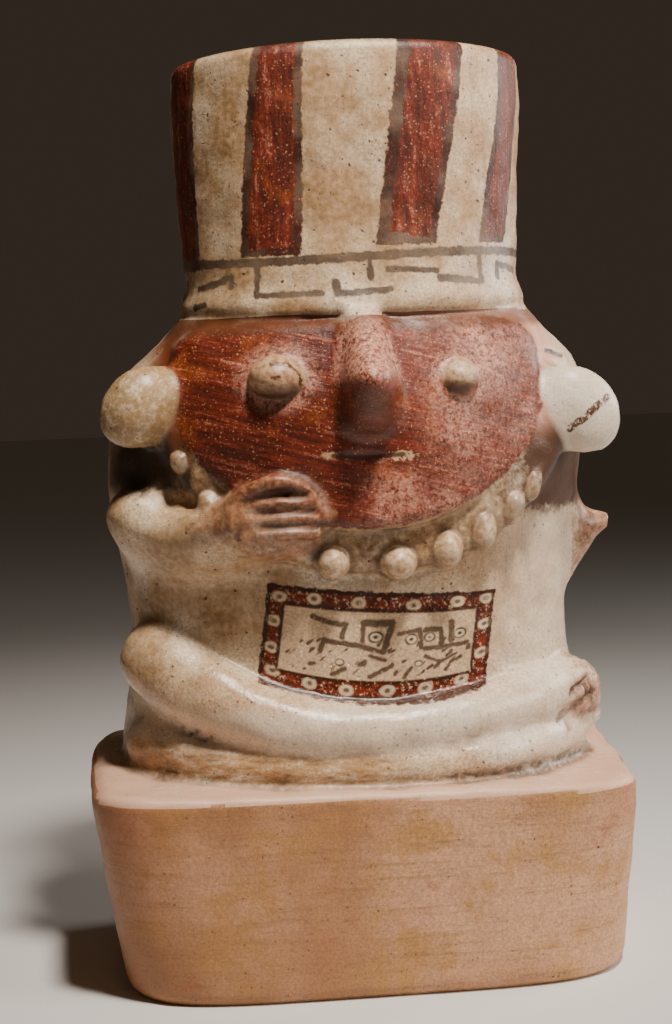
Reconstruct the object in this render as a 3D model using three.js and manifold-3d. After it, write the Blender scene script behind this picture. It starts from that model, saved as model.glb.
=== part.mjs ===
// Effigy vessel of fired clay: a seated, cross-legged figure on a block, whose tall headdress is the mouth.
// Millimetres, +Z up, the figure faces -Y. The origin is the middle of the block's underside.
import * as THREE from 'three';
import { mergeVertices } from 'three/addons/utils/BufferGeometryUtils.js';
import Module from 'manifold-3d';

const wasm = await Module();
wasm.setup();

// Driving dimensions: walls
const WALL = 6;
const FLOOR = 8;
const BLOCK_WALL = 8;

// The outer form, from the block up to the lip: half width, half depth and centre at each height
const BODY_Y = 7;
const BODY = [
  { z: 48, halfWidth: 68, halfDepth: 42, x: -1 },
  { z: 62, halfWidth: 69, halfDepth: 44, x: -1 },
  { z: 76, halfWidth: 67, halfDepth: 42, x: -1 },
  { z: 96, halfWidth: 64.5, halfDepth: 41, x: -1 },
  { z: 116, halfWidth: 66.5, halfDepth: 40.5, x: -1 },
  { z: 140, halfWidth: 70, halfDepth: 41, x: -0.5 },
  { z: 160, halfWidth: 69.5, halfDepth: 42, x: 1 },
  { z: 174, halfWidth: 66, halfDepth: 41.5, x: 2 },
  { z: 183, halfWidth: 56.5, halfDepth: 41, x: 3 },
  { z: 189, halfWidth: 50.5, halfDepth: 41, x: 3 },
];
const HEADDRESS = [
  { z: 186, halfWidth: 49, halfDepth: 40, x: 3 },
  { z: 189, halfWidth: 49.5, halfDepth: 42, x: 3 },
  { z: 191.5, halfWidth: 51, halfDepth: 43.5, x: 3 },
  { z: 197, halfWidth: 49, halfDepth: 42, x: 3 },
  { z: 208, halfWidth: 49, halfDepth: 41, x: 3 },
  { z: 226, halfWidth: 50, halfDepth: 41, x: 3 },
  { z: 248, halfWidth: 51, halfDepth: 41.5, x: 3.5 },
  { z: 258, halfWidth: 50.5, halfDepth: 41.5, x: 3.5 },
];
const RIM_TOP = 264.5;
const RIM_DIP = 2.5;
const LIP_ROUND = 4;
const FIGURE_POWER = 2.3;
const SIDES = 40;
const INNER_SIDES = 24;

// The block seat, wider at the top than at its foot
const BLOCK = {
  footHalfWidth: 71.5, topHalfWidth: 78, topX: -2, halfDepth: 51, footPower: 4.5, topPower: 7,
  height: 58, slopeX: -0.022, slopeY: 0.03, rearFlare: 0.08, frontEdge: 2.5, sideEdge: 6.5, footEdge: 3,
};

// The face: a shield with a nearly straight top and a half-elliptical jaw
const FACE = { x: 1, z: 167.5, halfWidth: 53, up: 21, down: 38, front: -45.5, wrap: 19, lean: 9, edge: 5 };
const COLLAR = { x: 3, z: 167.5, halfWidth: 60, up: 4, down: 50.5, front: -40, wrap: 15, lean: 9, edge: 4 };
const SHIELD_LEAN_FROM = 153;
const SHIELD_TOP_POWER = 5;
const SHIELD_JAW_POWER = 2;
const SHIELD_ROLL_FROM = 0.8;
const BEAD_REACH = 0.95;
const BEAD_SINK = 0.8;
const BEADS = [
  { x: -50, wide: 2.6, high: 3 },
  { x: -42.5, wide: 2.8, high: 3.2 },
  { x: -9.5, wide: 4.5, high: 4.8 },
  { x: 8.9, wide: 4.8, high: 4.8 },
  { x: 23, wide: 4, high: 5.3 },
  { x: 33.6, wide: 3.3, high: 5.5 },
  { x: 42.8, wide: 2.8, high: 4.8 },
  { x: 48.8, wide: 2.3, high: 4.2 },
];
const EYES = [
  { at: [-22.8, -38.5, 172.5], size: [8, 6.5, 5.8], tilt: 8 },
  { at: [27.6, -37, 170.5], size: [5.4, 6, 5], tilt: 0 },
];
const NOSE = [
  { z: 190.5, halfWidth: 4, front: -38 },
  { z: 184.5, halfWidth: 5.5, front: -46 },
  { z: 177.5, halfWidth: 7, front: -55.5 },
  { z: 173, halfWidth: 8, front: -61.5 },
  { z: 169.5, halfWidth: 8.6, front: -61 },
  { z: 162.5, halfWidth: 8.4, front: -54 },
  { z: 154, halfWidth: 6.5, front: -46 },
];
const NOSE_BACK = -36;
const NOSE_X = 1.5;
const NOSE_POWER = 1.8;
const MOUTH = { at: [0.6, -46, 150.2], size: [10.4, 3, 1.1] };
const EARS = [
  { at: [-61, -24, 165.5], size: [10, 8, 12.7], tilt: 40 },
  { at: [64, -24, 160], size: [10.9, 6.5, 13.6], tilt: -38 },
];

// The arm raised on the figure's right, which is on the left in a front view
const ELBOW = { at: [-61.7, -16, 134.5], size: [9.5, 9.5, 8.5], tilt: 0 };
const FOREARM = {
  route: [[-61, -15, 133], [-51, -26, 129.5], [-42, -33.5, 131], [-34, -38, 134]],
  radii: [7, 6, 5.6, 6],
};
const ARM_BED = { route: [[-60, -12, 128], [-48, -24, 124.5], [-33, -32, 128]], radii: [7.5, 7, 7] };
const PALM = { at: [-25, -38, 133], size: [14, 8, 11.5], tilt: 10 };
const THUMB = {
  route: [[-37, -39, 136.5], [-31.5, -40.5, 142], [-24.5, -42, 144.5], [-17, -42.5, 141.5], [-12.5, -41.5, 133.5]],
  radii: [2.6, 2.3, 2.2, 2.2, 2.4],
};
const FINGERS = { count: 3, top: 140.5, pitch: 4.6, from: -34, to: -15.5, fromY: -42, toY: -44.5, radius: 2.3 };

// The broken arm on the other side, and the hand that is left of it on the knee
const STUB = [
  { x: 58, top: 142.5, bottom: 105.5, halfThick: 9 },
  { x: 65.5, top: 137.5, bottom: 109.5, halfThick: 7 },
  { x: 69, top: 131.5, bottom: 114, halfThick: 5.5 },
  { x: 73, top: 128.5, bottom: 120, halfThick: 4 },
  { x: 77, top: 127.1, bottom: 124.1, halfThick: 2 },
];
const STUB_Y = -1;
const KNEE_HAND = { at: [61, -12, 76.5], size: [9.5, 10, 10], tilt: 15 };
const KNEE_FINGERS = { count: 4, top: 84, pitch: 4.7, length: 12, drop: 6, x: 66.5, y: -15.5, radius: 2.6 };

// The legs: an upper roll from knee to knee and a lower one that rests on the block
const SHIN = {
  route: [[-57, -13, 92.5], [-46, -24, 84.5], [-26, -34, 76], [0, -38, 72.5], [26, -34.5, 74.5], [46, -25, 77],
    [57, -15, 79]],
  radii: [12, 11.5, 9.5, 8, 8, 8.5, 8],
};
const LOWER_LEG = {
  route: [[-60, -10, 67.5], [-44, -27, 65], [-18, -37, 63], [12, -39.5, 63], [42, -32, 64.5], [59, -14, 65.5]],
  radii: [8.5, 8, 6.5, 6, 6.5, 7],
};

// Builds a closed geometry from rings of points, with a fan of triangles over each end
function ringsGeometry(rings) {
  const sides = rings[0].length;
  const middle = (ring) => ring.reduce((sum, p) => sum.add(p), new THREE.Vector3()).divideScalar(sides);
  const points = [...rings.flat(), middle(rings[0]), middle(rings.at(-1))];
  const start = points.length - 2;
  const end = points.length - 1;
  const last = (rings.length - 1) * sides;
  const index = [];
  for (let side = 0; side < sides; side++) {
    const next = (side + 1) % sides;
    index.push(start, next, side);
    index.push(end, last + side, last + next);
    for (let row = 0; row < last; row += sides) {
      index.push(row + side, row + next, row + sides + next);
      index.push(row + side, row + sides + next, row + sides + side);
    }
  }
  const geometry = new THREE.BufferGeometry().setFromPoints(points);
  geometry.setIndex(index);
  return geometry;
}

// Turns a closed geometry into a solid, with its faces pointing out whichever way the rings ran
function solid(geometry) {
  const shape = geometry.clone();
  shape.deleteAttribute('normal');
  shape.deleteAttribute('uv');
  const merged = mergeVertices(shape, 1e-4);
  const vertProperties = new Float32Array(merged.attributes.position.array);
  const triVerts = new Uint32Array(merged.index.array);
  if (signedVolume(vertProperties, triVerts) < 0) triVerts.reverse();
  return new wasm.Manifold(new wasm.Mesh({ numProp: 3, vertProperties, triVerts }));
}

function signedVolume(positions, triangles) {
  const corner = (k) => new THREE.Vector3().fromArray(positions, 3 * triangles[k]);
  let volume = 0;
  for (let k = 0; k < triangles.length; k += 3) {
    volume += corner(k).dot(corner(k + 1).cross(corner(k + 2))) / 6;
  }
  return volume;
}

// A cosine or sine bent so that a circle becomes a superellipse of that power
function bend(value, power) {
  return Math.sign(value) * Math.abs(value) ** (2 / power);
}

// One superellipse ring in a level plane
function superellipse({ x = 0, y = BODY_Y, z, halfWidth, halfDepth }, power, sides) {
  return Array.from({ length: sides }, (_, side) => {
    const angle = (2 * Math.PI * side) / sides;
    return new THREE.Vector3(
      x + halfWidth * bend(Math.cos(angle), power), y + halfDepth * bend(Math.sin(angle), power), z);
  });
}

// Smooth sections between stations, by a curve through their sizes and one through their centres
function smoothSections(stations, count) {
  const sizes = new THREE.CatmullRomCurve3(
    stations.map((s) => new THREE.Vector3(s.halfWidth, s.halfDepth, s.z)), false, 'centripetal');
  const centres = new THREE.CatmullRomCurve3(
    stations.map((s) => new THREE.Vector3(s.x, 0, s.z)), false, 'centripetal');
  return Array.from({ length: count }, (_, k) => {
    const size = sizes.getPoint(k / (count - 1));
    const centre = centres.getPoint(k / (count - 1));
    return { x: centre.x, z: size.z, halfWidth: size.x, halfDepth: size.y };
  });
}

function inset(section, wall) {
  return { ...section, halfWidth: section.halfWidth - wall, halfDepth: section.halfDepth - wall };
}

function ellipsoid({ at, size, tilt }, sides = 14) {
  const ball = new THREE.SphereGeometry(1, sides, Math.round(0.6 * sides));
  ball.rotateX(Math.PI / 2);
  ball.scale(...size);
  ball.rotateY(THREE.MathUtils.degToRad(tilt));
  ball.translate(...at);
  return solid(ball);
}

// A rounded roll of clay along a smooth route, its radius blended between the route's points
function roll({ route, radii }, sides = 10, steps = 12) {
  const path = new THREE.CatmullRomCurve3(route.map((p) => new THREE.Vector3(...p)));
  const radiusAt = (t) => {
    const place = t * (radii.length - 1);
    const low = Math.min(Math.floor(place), radii.length - 2);
    return THREE.MathUtils.lerp(radii[low], radii[low + 1], place - low);
  };
  const ring = (t, reach, swell) => {
    const along = path.getTangent(t);
    const across = new THREE.Vector3(0, 0, 1).cross(along).normalize();
    const over = new THREE.Vector3().crossVectors(along, across);
    const centre = path.getPoint(t).addScaledVector(along, reach * radiusAt(t));
    return Array.from({ length: sides }, (_, side) => {
      const angle = (2 * Math.PI * side) / sides;
      return centre.clone()
        .addScaledVector(across, swell * radiusAt(t) * Math.cos(angle))
        .addScaledVector(over, swell * radiusAt(t) * Math.sin(angle));
    });
  };
  const domes = [20, 55].map((degrees) => THREE.MathUtils.degToRad(degrees));
  const rings = domes.map((a) => ring(0, -Math.cos(a), Math.sin(a)));
  for (let step = 0; step <= steps; step++) rings.push(ring(step / steps, 0, 1));
  rings.push(...domes.reverse().map((a) => ring(1, Math.cos(a), Math.sin(a))));
  return solid(ringsGeometry(rings));
}

// How far forward a shield's surface lies at x, z: it wraps back at the sides and leans back at the top
function shieldFront(shield, x, z) {
  const across = (x - shield.x) / shield.halfWidth;
  const above = Math.max(0, z - SHIELD_LEAN_FROM) / (shield.z + shield.up - SHIELD_LEAN_FROM);
  return shield.front + shield.wrap * across ** 2 + shield.lean * above ** 2;
}

// A pad with a shield outline, rolled over at its edge and run back into the body
function shieldPad(shield, backY) {
  const sides = 36;
  const ring = (reach, edge) => Array.from({ length: sides }, (_, side) => {
    const angle = (2 * Math.PI * side) / sides;
    const upper = Math.sin(angle) > 0;
    const power = upper ? SHIELD_TOP_POWER : SHIELD_JAW_POWER;
    const x = shield.x + reach * shield.halfWidth * bend(Math.cos(angle), power);
    const z = shield.z + reach * (upper ? shield.up : shield.down) * bend(Math.sin(angle), power);
    return new THREE.Vector3(x, edge === null ? backY : shieldFront(shield, x, z) + edge, z);
  });
  const reaches = [0.3, 0.6, SHIELD_ROLL_FROM, 0.9, 0.96, 1];
  const rolled = (reach) => shield.edge * (Math.max(0, reach - SHIELD_ROLL_FROM) / (1 - SHIELD_ROLL_FROM)) ** 2;
  return solid(ringsGeometry([...reaches.map((reach) => ring(reach, rolled(reach))), ring(1, null)]));
}

function blockTop(x, y) {
  return BLOCK.height + BLOCK.slopeX * (x - BLOCK.topX) + BLOCK.slopeY * (y + BLOCK.halfDepth);
}

// The block: a crisp front edge, softer side and rear edges, and a top that dips to the rear and to the right
function block() {
  const sides = 40;
  const ring = (part, inward, drop) => {
    const halfWidth = THREE.MathUtils.lerp(BLOCK.footHalfWidth, BLOCK.topHalfWidth, part);
    const section = { x: part * BLOCK.topX, y: 0, z: 0, halfWidth, halfDepth: BLOCK.halfDepth };
    const power = THREE.MathUtils.lerp(BLOCK.footPower, BLOCK.topPower, part);
    return superellipse(section, power, sides).map((p) => {
      const front = THREE.MathUtils.smoothstep(-p.y / BLOCK.halfDepth, 0.5, 0.95);
      const edge = THREE.MathUtils.lerp(BLOCK.sideEdge, BLOCK.frontEdge, front);
      const shrink = (edge * inward) / BLOCK.halfDepth;
      const height = blockTop(p.x, p.y);
      const flare = 1 + BLOCK.rearFlare * Math.max(0, Math.sign(p.x)) * (0.5 + p.y / (2 * BLOCK.halfDepth));
      return new THREE.Vector3(flare * (p.x - p.x * shrink), p.y - p.y * shrink, drop(height, edge, part));
    });
  };
  const foot = (lift) => () => lift * BLOCK.footEdge;
  const wall = (height, edge, part) => part * (height - edge);
  const rings = [
    ring(0, 0.45, foot(0)), ring(0, 0.12, foot(0.35)), ring(0.05, 0, foot(1)),
    ring(0.5, 0, wall), ring(1, 0, wall),
  ];
  for (const degrees of [30, 60, 90]) {
    const a = THREE.MathUtils.degToRad(degrees);
    rings.push(ring(1, 1 - Math.cos(a), (height, edge) => height - edge + edge * Math.sin(a)));
  }
  rings.push(ring(1, 3, (height) => height));
  return solid(ringsGeometry(rings));
}

function body() {
  const figure = smoothSections(BODY, 15);
  return solid(ringsGeometry(figure.map((section) => superellipse(section, FIGURE_POWER, SIDES))));
}

// The headdress flares a little and ends in a rounded lip
function headdress() {
  const sections = smoothSections(HEADDRESS, 10);
  const top = sections.at(-1);
  for (const degrees of [30, 60, 90]) {
    const a = THREE.MathUtils.degToRad(degrees);
    const inward = LIP_ROUND * (1 - Math.cos(a));
    sections.push({ ...inset(top, inward), z: RIM_TOP - LIP_ROUND * (1 - Math.sin(a)) });
  }
  const rings = sections.map((section) => superellipse(section, FIGURE_POWER, SIDES));
  for (const ring of rings.slice(-3)) {
    for (const p of ring) p.z -= rimDip(p.x);
  }
  return solid(ringsGeometry(rings));
}

// The lip sits lower at the sides than at the front and back
function rimDip(x) {
  const { halfWidth, x: centre } = HEADDRESS.at(-1);
  return RIM_DIP * ((x - centre) / halfWidth) ** 2;
}

// The hollow of the figure, open at the lip, and the hollow of the block below it
function hollow() {
  const inner = [...smoothSections(BODY, 9), ...smoothSections(HEADDRESS.slice(3), 4)]
    .map((section) => inset(section, WALL));
  const top = inner.at(-1);
  inner.push({ ...inset(top, -0.4 * LIP_ROUND), z: RIM_TOP - 0.6 * LIP_ROUND });
  inner.push({ ...inset(top, -LIP_ROUND), z: RIM_TOP + 1 });
  return solid(ringsGeometry(inner.map((section) => superellipse(section, FIGURE_POWER, INNER_SIDES))));
}

// The block's hollow keeps its wall from the outside and its floor from the underside
function blockHollow() {
  const corner = 4;
  const section = (part, z) => {
    const halfWidth = THREE.MathUtils.lerp(BLOCK.footHalfWidth, BLOCK.topHalfWidth, part) - BLOCK_WALL;
    return { x: part * BLOCK.topX, y: 0, z, halfWidth, halfDepth: BLOCK.halfDepth - BLOCK_WALL };
  };
  const top = BLOCK.height - BLOCK_WALL;
  const sections = [inset(section(0, FLOOR), corner), section(0.1, FLOOR + corner), section(0.75, top - corner),
    inset(section(0.8, top), corner)];
  return solid(ringsGeometry(sections.map((s) => superellipse(s, BLOCK.footPower, INNER_SIDES))));
}

function nose() {
  const rings = NOSE.map(({ z, halfWidth, front }) => superellipse(
    { x: NOSE_X, y: NOSE_BACK, z, halfWidth, halfDepth: NOSE_BACK - front }, NOSE_POWER, 16));
  return solid(ringsGeometry(rings));
}

// The beads hang along the collar's lower edge
function beads() {
  return BEADS.map(({ x, wide, high }) => {
    const across = (x - COLLAR.x) / (BEAD_REACH * COLLAR.halfWidth);
    const z = COLLAR.z - BEAD_REACH * COLLAR.down * Math.sqrt(1 - across ** 2);
    const y = shieldFront(COLLAR, x, z) + BEAD_SINK;
    return ellipsoid({ at: [x, y, z], size: [wide, 1.2 * wide, high], tilt: 20 * across }, 8);
  });
}

// Straight fingers lie side by side across the raised hand
function raisedHand() {
  const { count, top, pitch, from, to, fromY, toY, radius } = FINGERS;
  const fingers = Array.from({ length: count }, (_, k) => {
    const z = top - k * pitch;
    return roll({ route: [[from, fromY, z - 1], [to, toY, z]], radii: [radius, radius] }, 6, 2);
  });
  return [ellipsoid(PALM), roll(THUMB, 8, 8), ...fingers];
}

// The fingers left on the knee point inward and down
function kneeHand() {
  const { count, top, pitch, length, drop, x, y, radius } = KNEE_FINGERS;
  const fingers = Array.from({ length: count }, (_, k) => {
    const z = top - k * pitch;
    return roll({ route: [[x, y, z], [x - length, y - 6, z - drop]], radii: [radius, radius] }, 6, 2);
  });
  return [ellipsoid(KNEE_HAND), ...fingers];
}

// The stub of the broken arm tapers to its chipped tip
function brokenArm() {
  const sides = 12;
  const rings = STUB.map(({ x, top, bottom, halfThick }) => Array.from({ length: sides }, (_, side) => {
    const angle = (2 * Math.PI * side) / sides;
    const z = (top + bottom) / 2 + ((top - bottom) / 2) * Math.sin(angle);
    return new THREE.Vector3(x, STUB_Y + halfThick * Math.cos(angle), z);
  }));
  return solid(ringsGeometry(rings));
}

function vessel() {
  const applied = [
    shieldPad(FACE, 0), shieldPad(COLLAR, 0), nose(), ...beads(),
    ...EYES.map((eye) => ellipsoid(eye, 10)), ...EARS.map((ear) => ellipsoid(ear)),
    ellipsoid(ELBOW, 12), roll(FOREARM, 10, 6), roll(ARM_BED, 8, 4), ...raisedHand(), brokenArm(), ...kneeHand(),
    roll(SHIN, 12, 16), roll(LOWER_LEG, 10, 12),
  ];
  const outside = applied.reduce((whole, piece) => whole.add(piece), block().add(body()).add(headdress()));
  return outside.subtract(ellipsoid({ ...MOUTH, tilt: 0 }, 12)).subtract(hollow()).subtract(blockHollow());
}

function meshOf(name, shape, material) {
  const { vertProperties, triVerts } = shape.getMesh();
  const geometry = new THREE.BufferGeometry();
  geometry.setAttribute('position', new THREE.BufferAttribute(new Float32Array(vertProperties), 3));
  geometry.setIndex(new THREE.BufferAttribute(new Uint32Array(triVerts), 1));
  geometry.computeVertexNormals();
  const mesh = new THREE.Mesh(geometry, material);
  mesh.name = name;
  return mesh;
}

const firedClay = new THREE.MeshStandardMaterial({ color: 0xd9b48f, roughness: 0.6, metalness: 0 });

const group = new THREE.Group();
group.add(meshOf('effigy_vessel', vessel(), firedClay));

export default group;
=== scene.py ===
"""Ceramic effigy vessel: the fired clay's fine surface, slip paint and wear, and plain studio light."""
import functools
import math

import bpy
import numpy as np
from mathutils import Matrix, Vector


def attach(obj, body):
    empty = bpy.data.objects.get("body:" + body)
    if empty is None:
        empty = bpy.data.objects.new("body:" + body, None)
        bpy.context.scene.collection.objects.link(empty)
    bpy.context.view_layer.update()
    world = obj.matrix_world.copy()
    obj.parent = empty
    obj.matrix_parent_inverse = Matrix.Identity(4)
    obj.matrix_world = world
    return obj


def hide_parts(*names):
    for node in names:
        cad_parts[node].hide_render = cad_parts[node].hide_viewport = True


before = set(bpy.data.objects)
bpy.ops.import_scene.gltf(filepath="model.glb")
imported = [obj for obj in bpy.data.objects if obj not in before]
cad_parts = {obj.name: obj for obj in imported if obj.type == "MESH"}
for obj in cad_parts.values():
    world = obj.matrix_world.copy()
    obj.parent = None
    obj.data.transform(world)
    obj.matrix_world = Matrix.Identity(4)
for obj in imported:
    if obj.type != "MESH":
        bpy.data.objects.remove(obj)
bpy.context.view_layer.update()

# Every length here is in millimetres, as in the part's source, until the mesh is made in metres.
# The figure faces -Y, and the origin is the middle of the block's underside.

# Height, half width, half depth and centre x of the figure's sections
BODY = np.array([
    [40, 68, 42, -1], [62, 69, 44, -1], [76, 67, 42, -1], [96, 64.5, 41, -1], [116, 66.5, 40.5, -1],
    [140, 70, 41, -0.5], [160, 69.5, 42, 1], [174, 66, 41.5, 2], [183, 57, 41, 3], [192, 49, 41, 3],
])
HEADDRESS = np.array([
    [184, 48, 40, 3], [189, 49.5, 42.5, 3], [192, 50.5, 43, 3], [197, 49, 42, 3], [208, 49, 41, 3],
    [226, 50, 41, 3], [248, 51, 41.5, 3.5], [262, 50, 41, 3.5],
])
BODY_TOP = 196.0
BODY_Y = 7.0
FIGURE_POWER = 2.3
RIM_TOP = 264.5
RIM_DIP = 2.5
RIM_HALF_WIDTH = 50.5
LIP_ROUND = 3.5
WALL = 6.0
BLOCK_WALL = 8.0
BAND_EDGE = 189.0
BAND_TOP = 207.5
BAND_ROUND = 1.5
BLOCK_FILLET = 4.0

FOOT = (71.5, 51.0, 4.5)
TOP_HALF_WIDTH = 78.0
TOP_X = -2.0
TOP_POWER = 7.0
BLOCK_HEIGHT = 58.0
SLOPE_X = -0.022
SLOPE_Y = 0.03
REAR_FLARE = 0.08
FRONT_EDGE = 2.5
SIDE_EDGE = 6.5
FOOT_EDGE = 3.0

FACE = {"x": 1.0, "z": 167.5, "half_width": 53.0, "up": 21.0, "down": 38.0,
        "front": -45.5, "wrap": 19.0, "lean": 9.0, "edge": 3.5}
COLLAR = {"x": 3.0, "z": 167.5, "half_width": 60.0, "up": 4.0, "down": 50.5,
          "front": -40.0, "wrap": 15.0, "lean": 9.0, "edge": 3.0}
LEAN_FROM = 153.0

# A pellet of clay is (centre, half sizes, tilt in degrees about Y)
EYES = [((-22.8, -38.5, 172.5), (8.0, 6.5, 5.8), 8.0), ((27.6, -37.0, 170.5), (5.4, 6.0, 5.0), 0.0)]
EARS = [((-61.0, -24.0, 165.5), (10.0, 8.0, 12.7), 40.0), ((64.0, -24.0, 160.0), (10.9, 6.5, 13.6), -38.0)]
BEADS = [(-50.0, 2.6, 3.0), (-42.5, 2.8, 3.2), (-9.5, 4.5, 4.8), (8.9, 4.8, 4.8), (23.0, 4.0, 5.3),
         (33.6, 3.3, 5.5), (42.8, 2.8, 4.8), (48.8, 2.3, 4.2)]
BEAD_REACH = 0.95
BEAD_SINK = 0.8
# Height, half width, depth in front of NOSE_BACK and centre x
NOSE = np.array([
    [153, 7.5, 6, 1.5], [157, 9, 13, 1.5], [163, 9, 19.5, 1.5], [169.5, 8.6, 25, 1.5], [173, 8, 25.5, 1.5],
    [177.5, 7, 19.5, 1.5], [184.5, 5.5, 10, 1.5], [190.5, 4, 2, 1.5],
])
NOSE_BACK = -36.0
NOSE_POWER = 2.0
NOSE_MIDDLE = 172.2
NOSE_REACH = 18.2
SHIELD_BACK = 5.0

ELBOW = ((-61.7, -16.0, 134.5), (9.5, 9.5, 8.5), 0.0)
PALM = ((-25.5, -38.0, 133.0), (14.0, 7.2, 11.0), 10.0)
KNEE_HAND = ((61.0, -12.0, 76.5), (9.5, 10.0, 10.0), 15.0)
# A roll of clay is (points of its route, radii there)
FOREARM = ([(-61, -15, 133), (-51, -26, 129.5), (-42, -33.5, 131), (-34, -38, 134)], [7, 6, 5.6, 6])
ARM_BED = ([(-60, -12, 128), (-48, -24, 124.5), (-33, -32, 128)], [7.5, 7, 7])
THUMB = ([(-37, -39.5, 137), (-31.5, -43, 142.2), (-24.5, -45, 144.4), (-17, -45, 142), (-12, -43.5, 135)],
         [2.8, 2.5, 2.4, 2.4, 2.6])
WRIST = ([(-44, -32, 131), (-34, -38, 134)], [4, 7])
SHIN = ([(-57, -13, 92.5), (-46, -24, 84.5), (-26, -34, 76), (0, -38, 72.5), (26, -34.5, 74.5),
         (46, -25, 77), (57, -15, 79)], [12, 11.5, 9.5, 8, 8, 8.5, 8])
LOWER_LEG = ([(-60, -10, 67.5), (-44, -27, 65), (-18, -37, 63), (12, -39.5, 63), (42, -32, 64.5),
              (59, -14, 65.5)], [8.5, 8, 6.5, 6, 6.5, 7])
FINGERS = [([(-34, -42.5, z - 0.4), (-24, -45, z + 0.6), (-14, -45, z)], [1.8, 2.2, 1.9])
           for z in (138.0, 133.8, 129.8)]
KNEE_FINGERS = [([(68, -14.5, z), (55, -21.5, z - 6)], [2.5, 2.4]) for z in (84, 79.3, 74.6, 69.9)]
FINGER_SLITS = [([(-30, -46, 140.4), (-22, -47, 141.3), (-15, -47.5, 140.4)], [0.8, 1.3, 0.9]),
                ([(-30, -46, 136.0), (-22, -47, 136.7), (-13, -47.5, 136.2)], [0.6, 1.1, 0.9]),
                ([(-28, -46, 132.0), (-13, -47.5, 132.2)], [0.5, 0.9])]
KNEE_SLITS = [([(66, -19.5, z), (54.5, -25.5, z - 6)], [0.9, 1.1]) for z in (81.6, 76.8, 72.2)]
MOUTH = ([(-9.5, -46, 150.8), (0.6, -46, 150), (11, -46, 150.4)], [0.9, 1.5, 0.9])
CHIP = ([(57, -17.5, 176.6), (62, -13, 175)], [0.9, 0.8])
# Across, half height, half thickness and middle height of the broken arm's stub
STUB = np.array([[58, 18.5, 9, 124], [65.5, 14, 7, 123.5], [69, 8.7, 5.5, 122.7], [73, 4.6, 4, 124.2],
                 [77.5, 2, 2.5, 125.6]])
STUB_Y = -1.0
STUB_TIP = 77.0


def stations_at(table, where):
    """Values at `where` on a table whose first column rises: a cubic through its rows, with mean slopes."""
    at, values = table[:, 0], table[:, 1:]
    slope = np.gradient(values, at, axis=0)
    k = np.clip(np.searchsorted(at, where) - 1, 0, len(at) - 2)
    step = (at[k + 1] - at[k])[:, None]
    t = np.clip((where - at[k])[:, None] / step, 0, 1)
    rise = 3 * t**2 - 2 * t**3
    return ((1 - rise) * values[k] + rise * values[k + 1]
            + (t**3 - 2 * t**2 + t) * step * slope[k] + (t**3 - t**2) * step * slope[k + 1]).T


def oval(x, y, half_x, half_y, power):
    """Distance to a superellipse: ((x/a)^p + (y/b)^p)^(1/p) less one, over the length of its own gradient."""
    u = np.abs(x) / half_x
    v = np.abs(y) / half_y
    q = np.maximum((u**power + v**power) ** (1 / power), 1e-3)
    slope = np.hypot((u / q) ** (power - 1) / half_x, (v / q) ** (power - 1) / half_y)
    return (q - 1) / np.maximum(slope, 0.4 / half_x)


def join(a, b, blend):
    """The nearer of two distances, with a fillet about a quarter of `blend` deep where they meet."""
    h = np.clip(0.5 + 0.5 * (a - b) / blend, 0, 1)
    return a + (b - a) * h - blend * h * (1 - h)


def rounded_corner(a, b, radius):
    """The overlap of two shapes whose distances are a and b, with their edge rounded to `radius`."""
    out = np.hypot(np.maximum(a + radius, 0), np.maximum(b + radius, 0))
    return out - radius + np.minimum(np.maximum(a + radius, b + radius), 0)


def pellet_distance(points, centre, half, tilt):
    """Distance to an ellipsoid turned about Y: k0 (k0 - 1) / k1, from the scaled radius and its gradient."""
    cos, sin = math.cos(math.radians(tilt)), math.sin(math.radians(tilt))
    x, y, z = (points - np.array(centre)).T
    local = np.stack([x * cos - z * sin, y, x * sin + z * cos], 1) / np.array(half)
    k0 = np.linalg.norm(local, axis=1)
    k1 = np.linalg.norm(local / np.array(half), axis=1)
    return k0 * (k0 - 1) / np.maximum(k1, 1e-6)


def smooth_route(route, radii, parts=4):
    """Points (x, y, z, radius) on the Catmull-Rom curve through a roll's route."""
    knots = np.column_stack([np.array(route, float), np.array(radii, float)])
    ends = np.vstack([2 * knots[0] - knots[1], knots, 2 * knots[-1] - knots[-2]])
    p0, p1, p2, p3 = (ends[k:len(ends) - 3 + k, None] for k in range(4))
    t = (np.arange(parts) / parts)[None, :, None]
    curve = 0.5 * (2 * p1 + (p2 - p0) * t + (2 * p0 - 5 * p1 + 4 * p2 - p3) * t**2
                   + (3 * p1 - p0 - 3 * p2 + p3) * t**3)
    return np.vstack([curve.reshape(-1, 4), knots[-1]])


def roll_distance(points, route, radii):
    """Distance to a roll of clay: the least distance to its curve's short lengths, less the radius there."""
    curve = smooth_route(route, radii)
    best = np.full(len(points), 1e9)
    for a, b in zip(curve[:-1], curve[1:]):
        span = b[:3] - a[:3]
        t = np.clip((points - a[:3]) @ span / (span @ span), 0, 1)
        d = np.linalg.norm(points - a[:3] - t[:, None] * span, axis=1) - (a[3] + t * (b[3] - a[3]))
        best = np.minimum(best, d)
    return best


def shield_front(shield, x, z):
    """Depth y of a shield's front: curved back to the sides, and leaning back above LEAN_FROM."""
    across = (x - shield["x"]) / shield["half_width"]
    above = np.maximum(0, z - LEAN_FROM) / (shield["z"] + shield["up"] - LEAN_FROM)
    return shield["front"] + shield["wrap"] * across**2 + shield["lean"] * above**2


def shield_outline(shield, x, z):
    """Distance to a shield's outline: a half ellipse below its middle, a flat-topped superellipse above."""
    above = z > shield["z"]
    return oval(x - shield["x"], z - shield["z"], shield["half_width"],
                np.where(above, shield["up"], shield["down"]), np.where(above, 5.0, 2.0))


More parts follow.
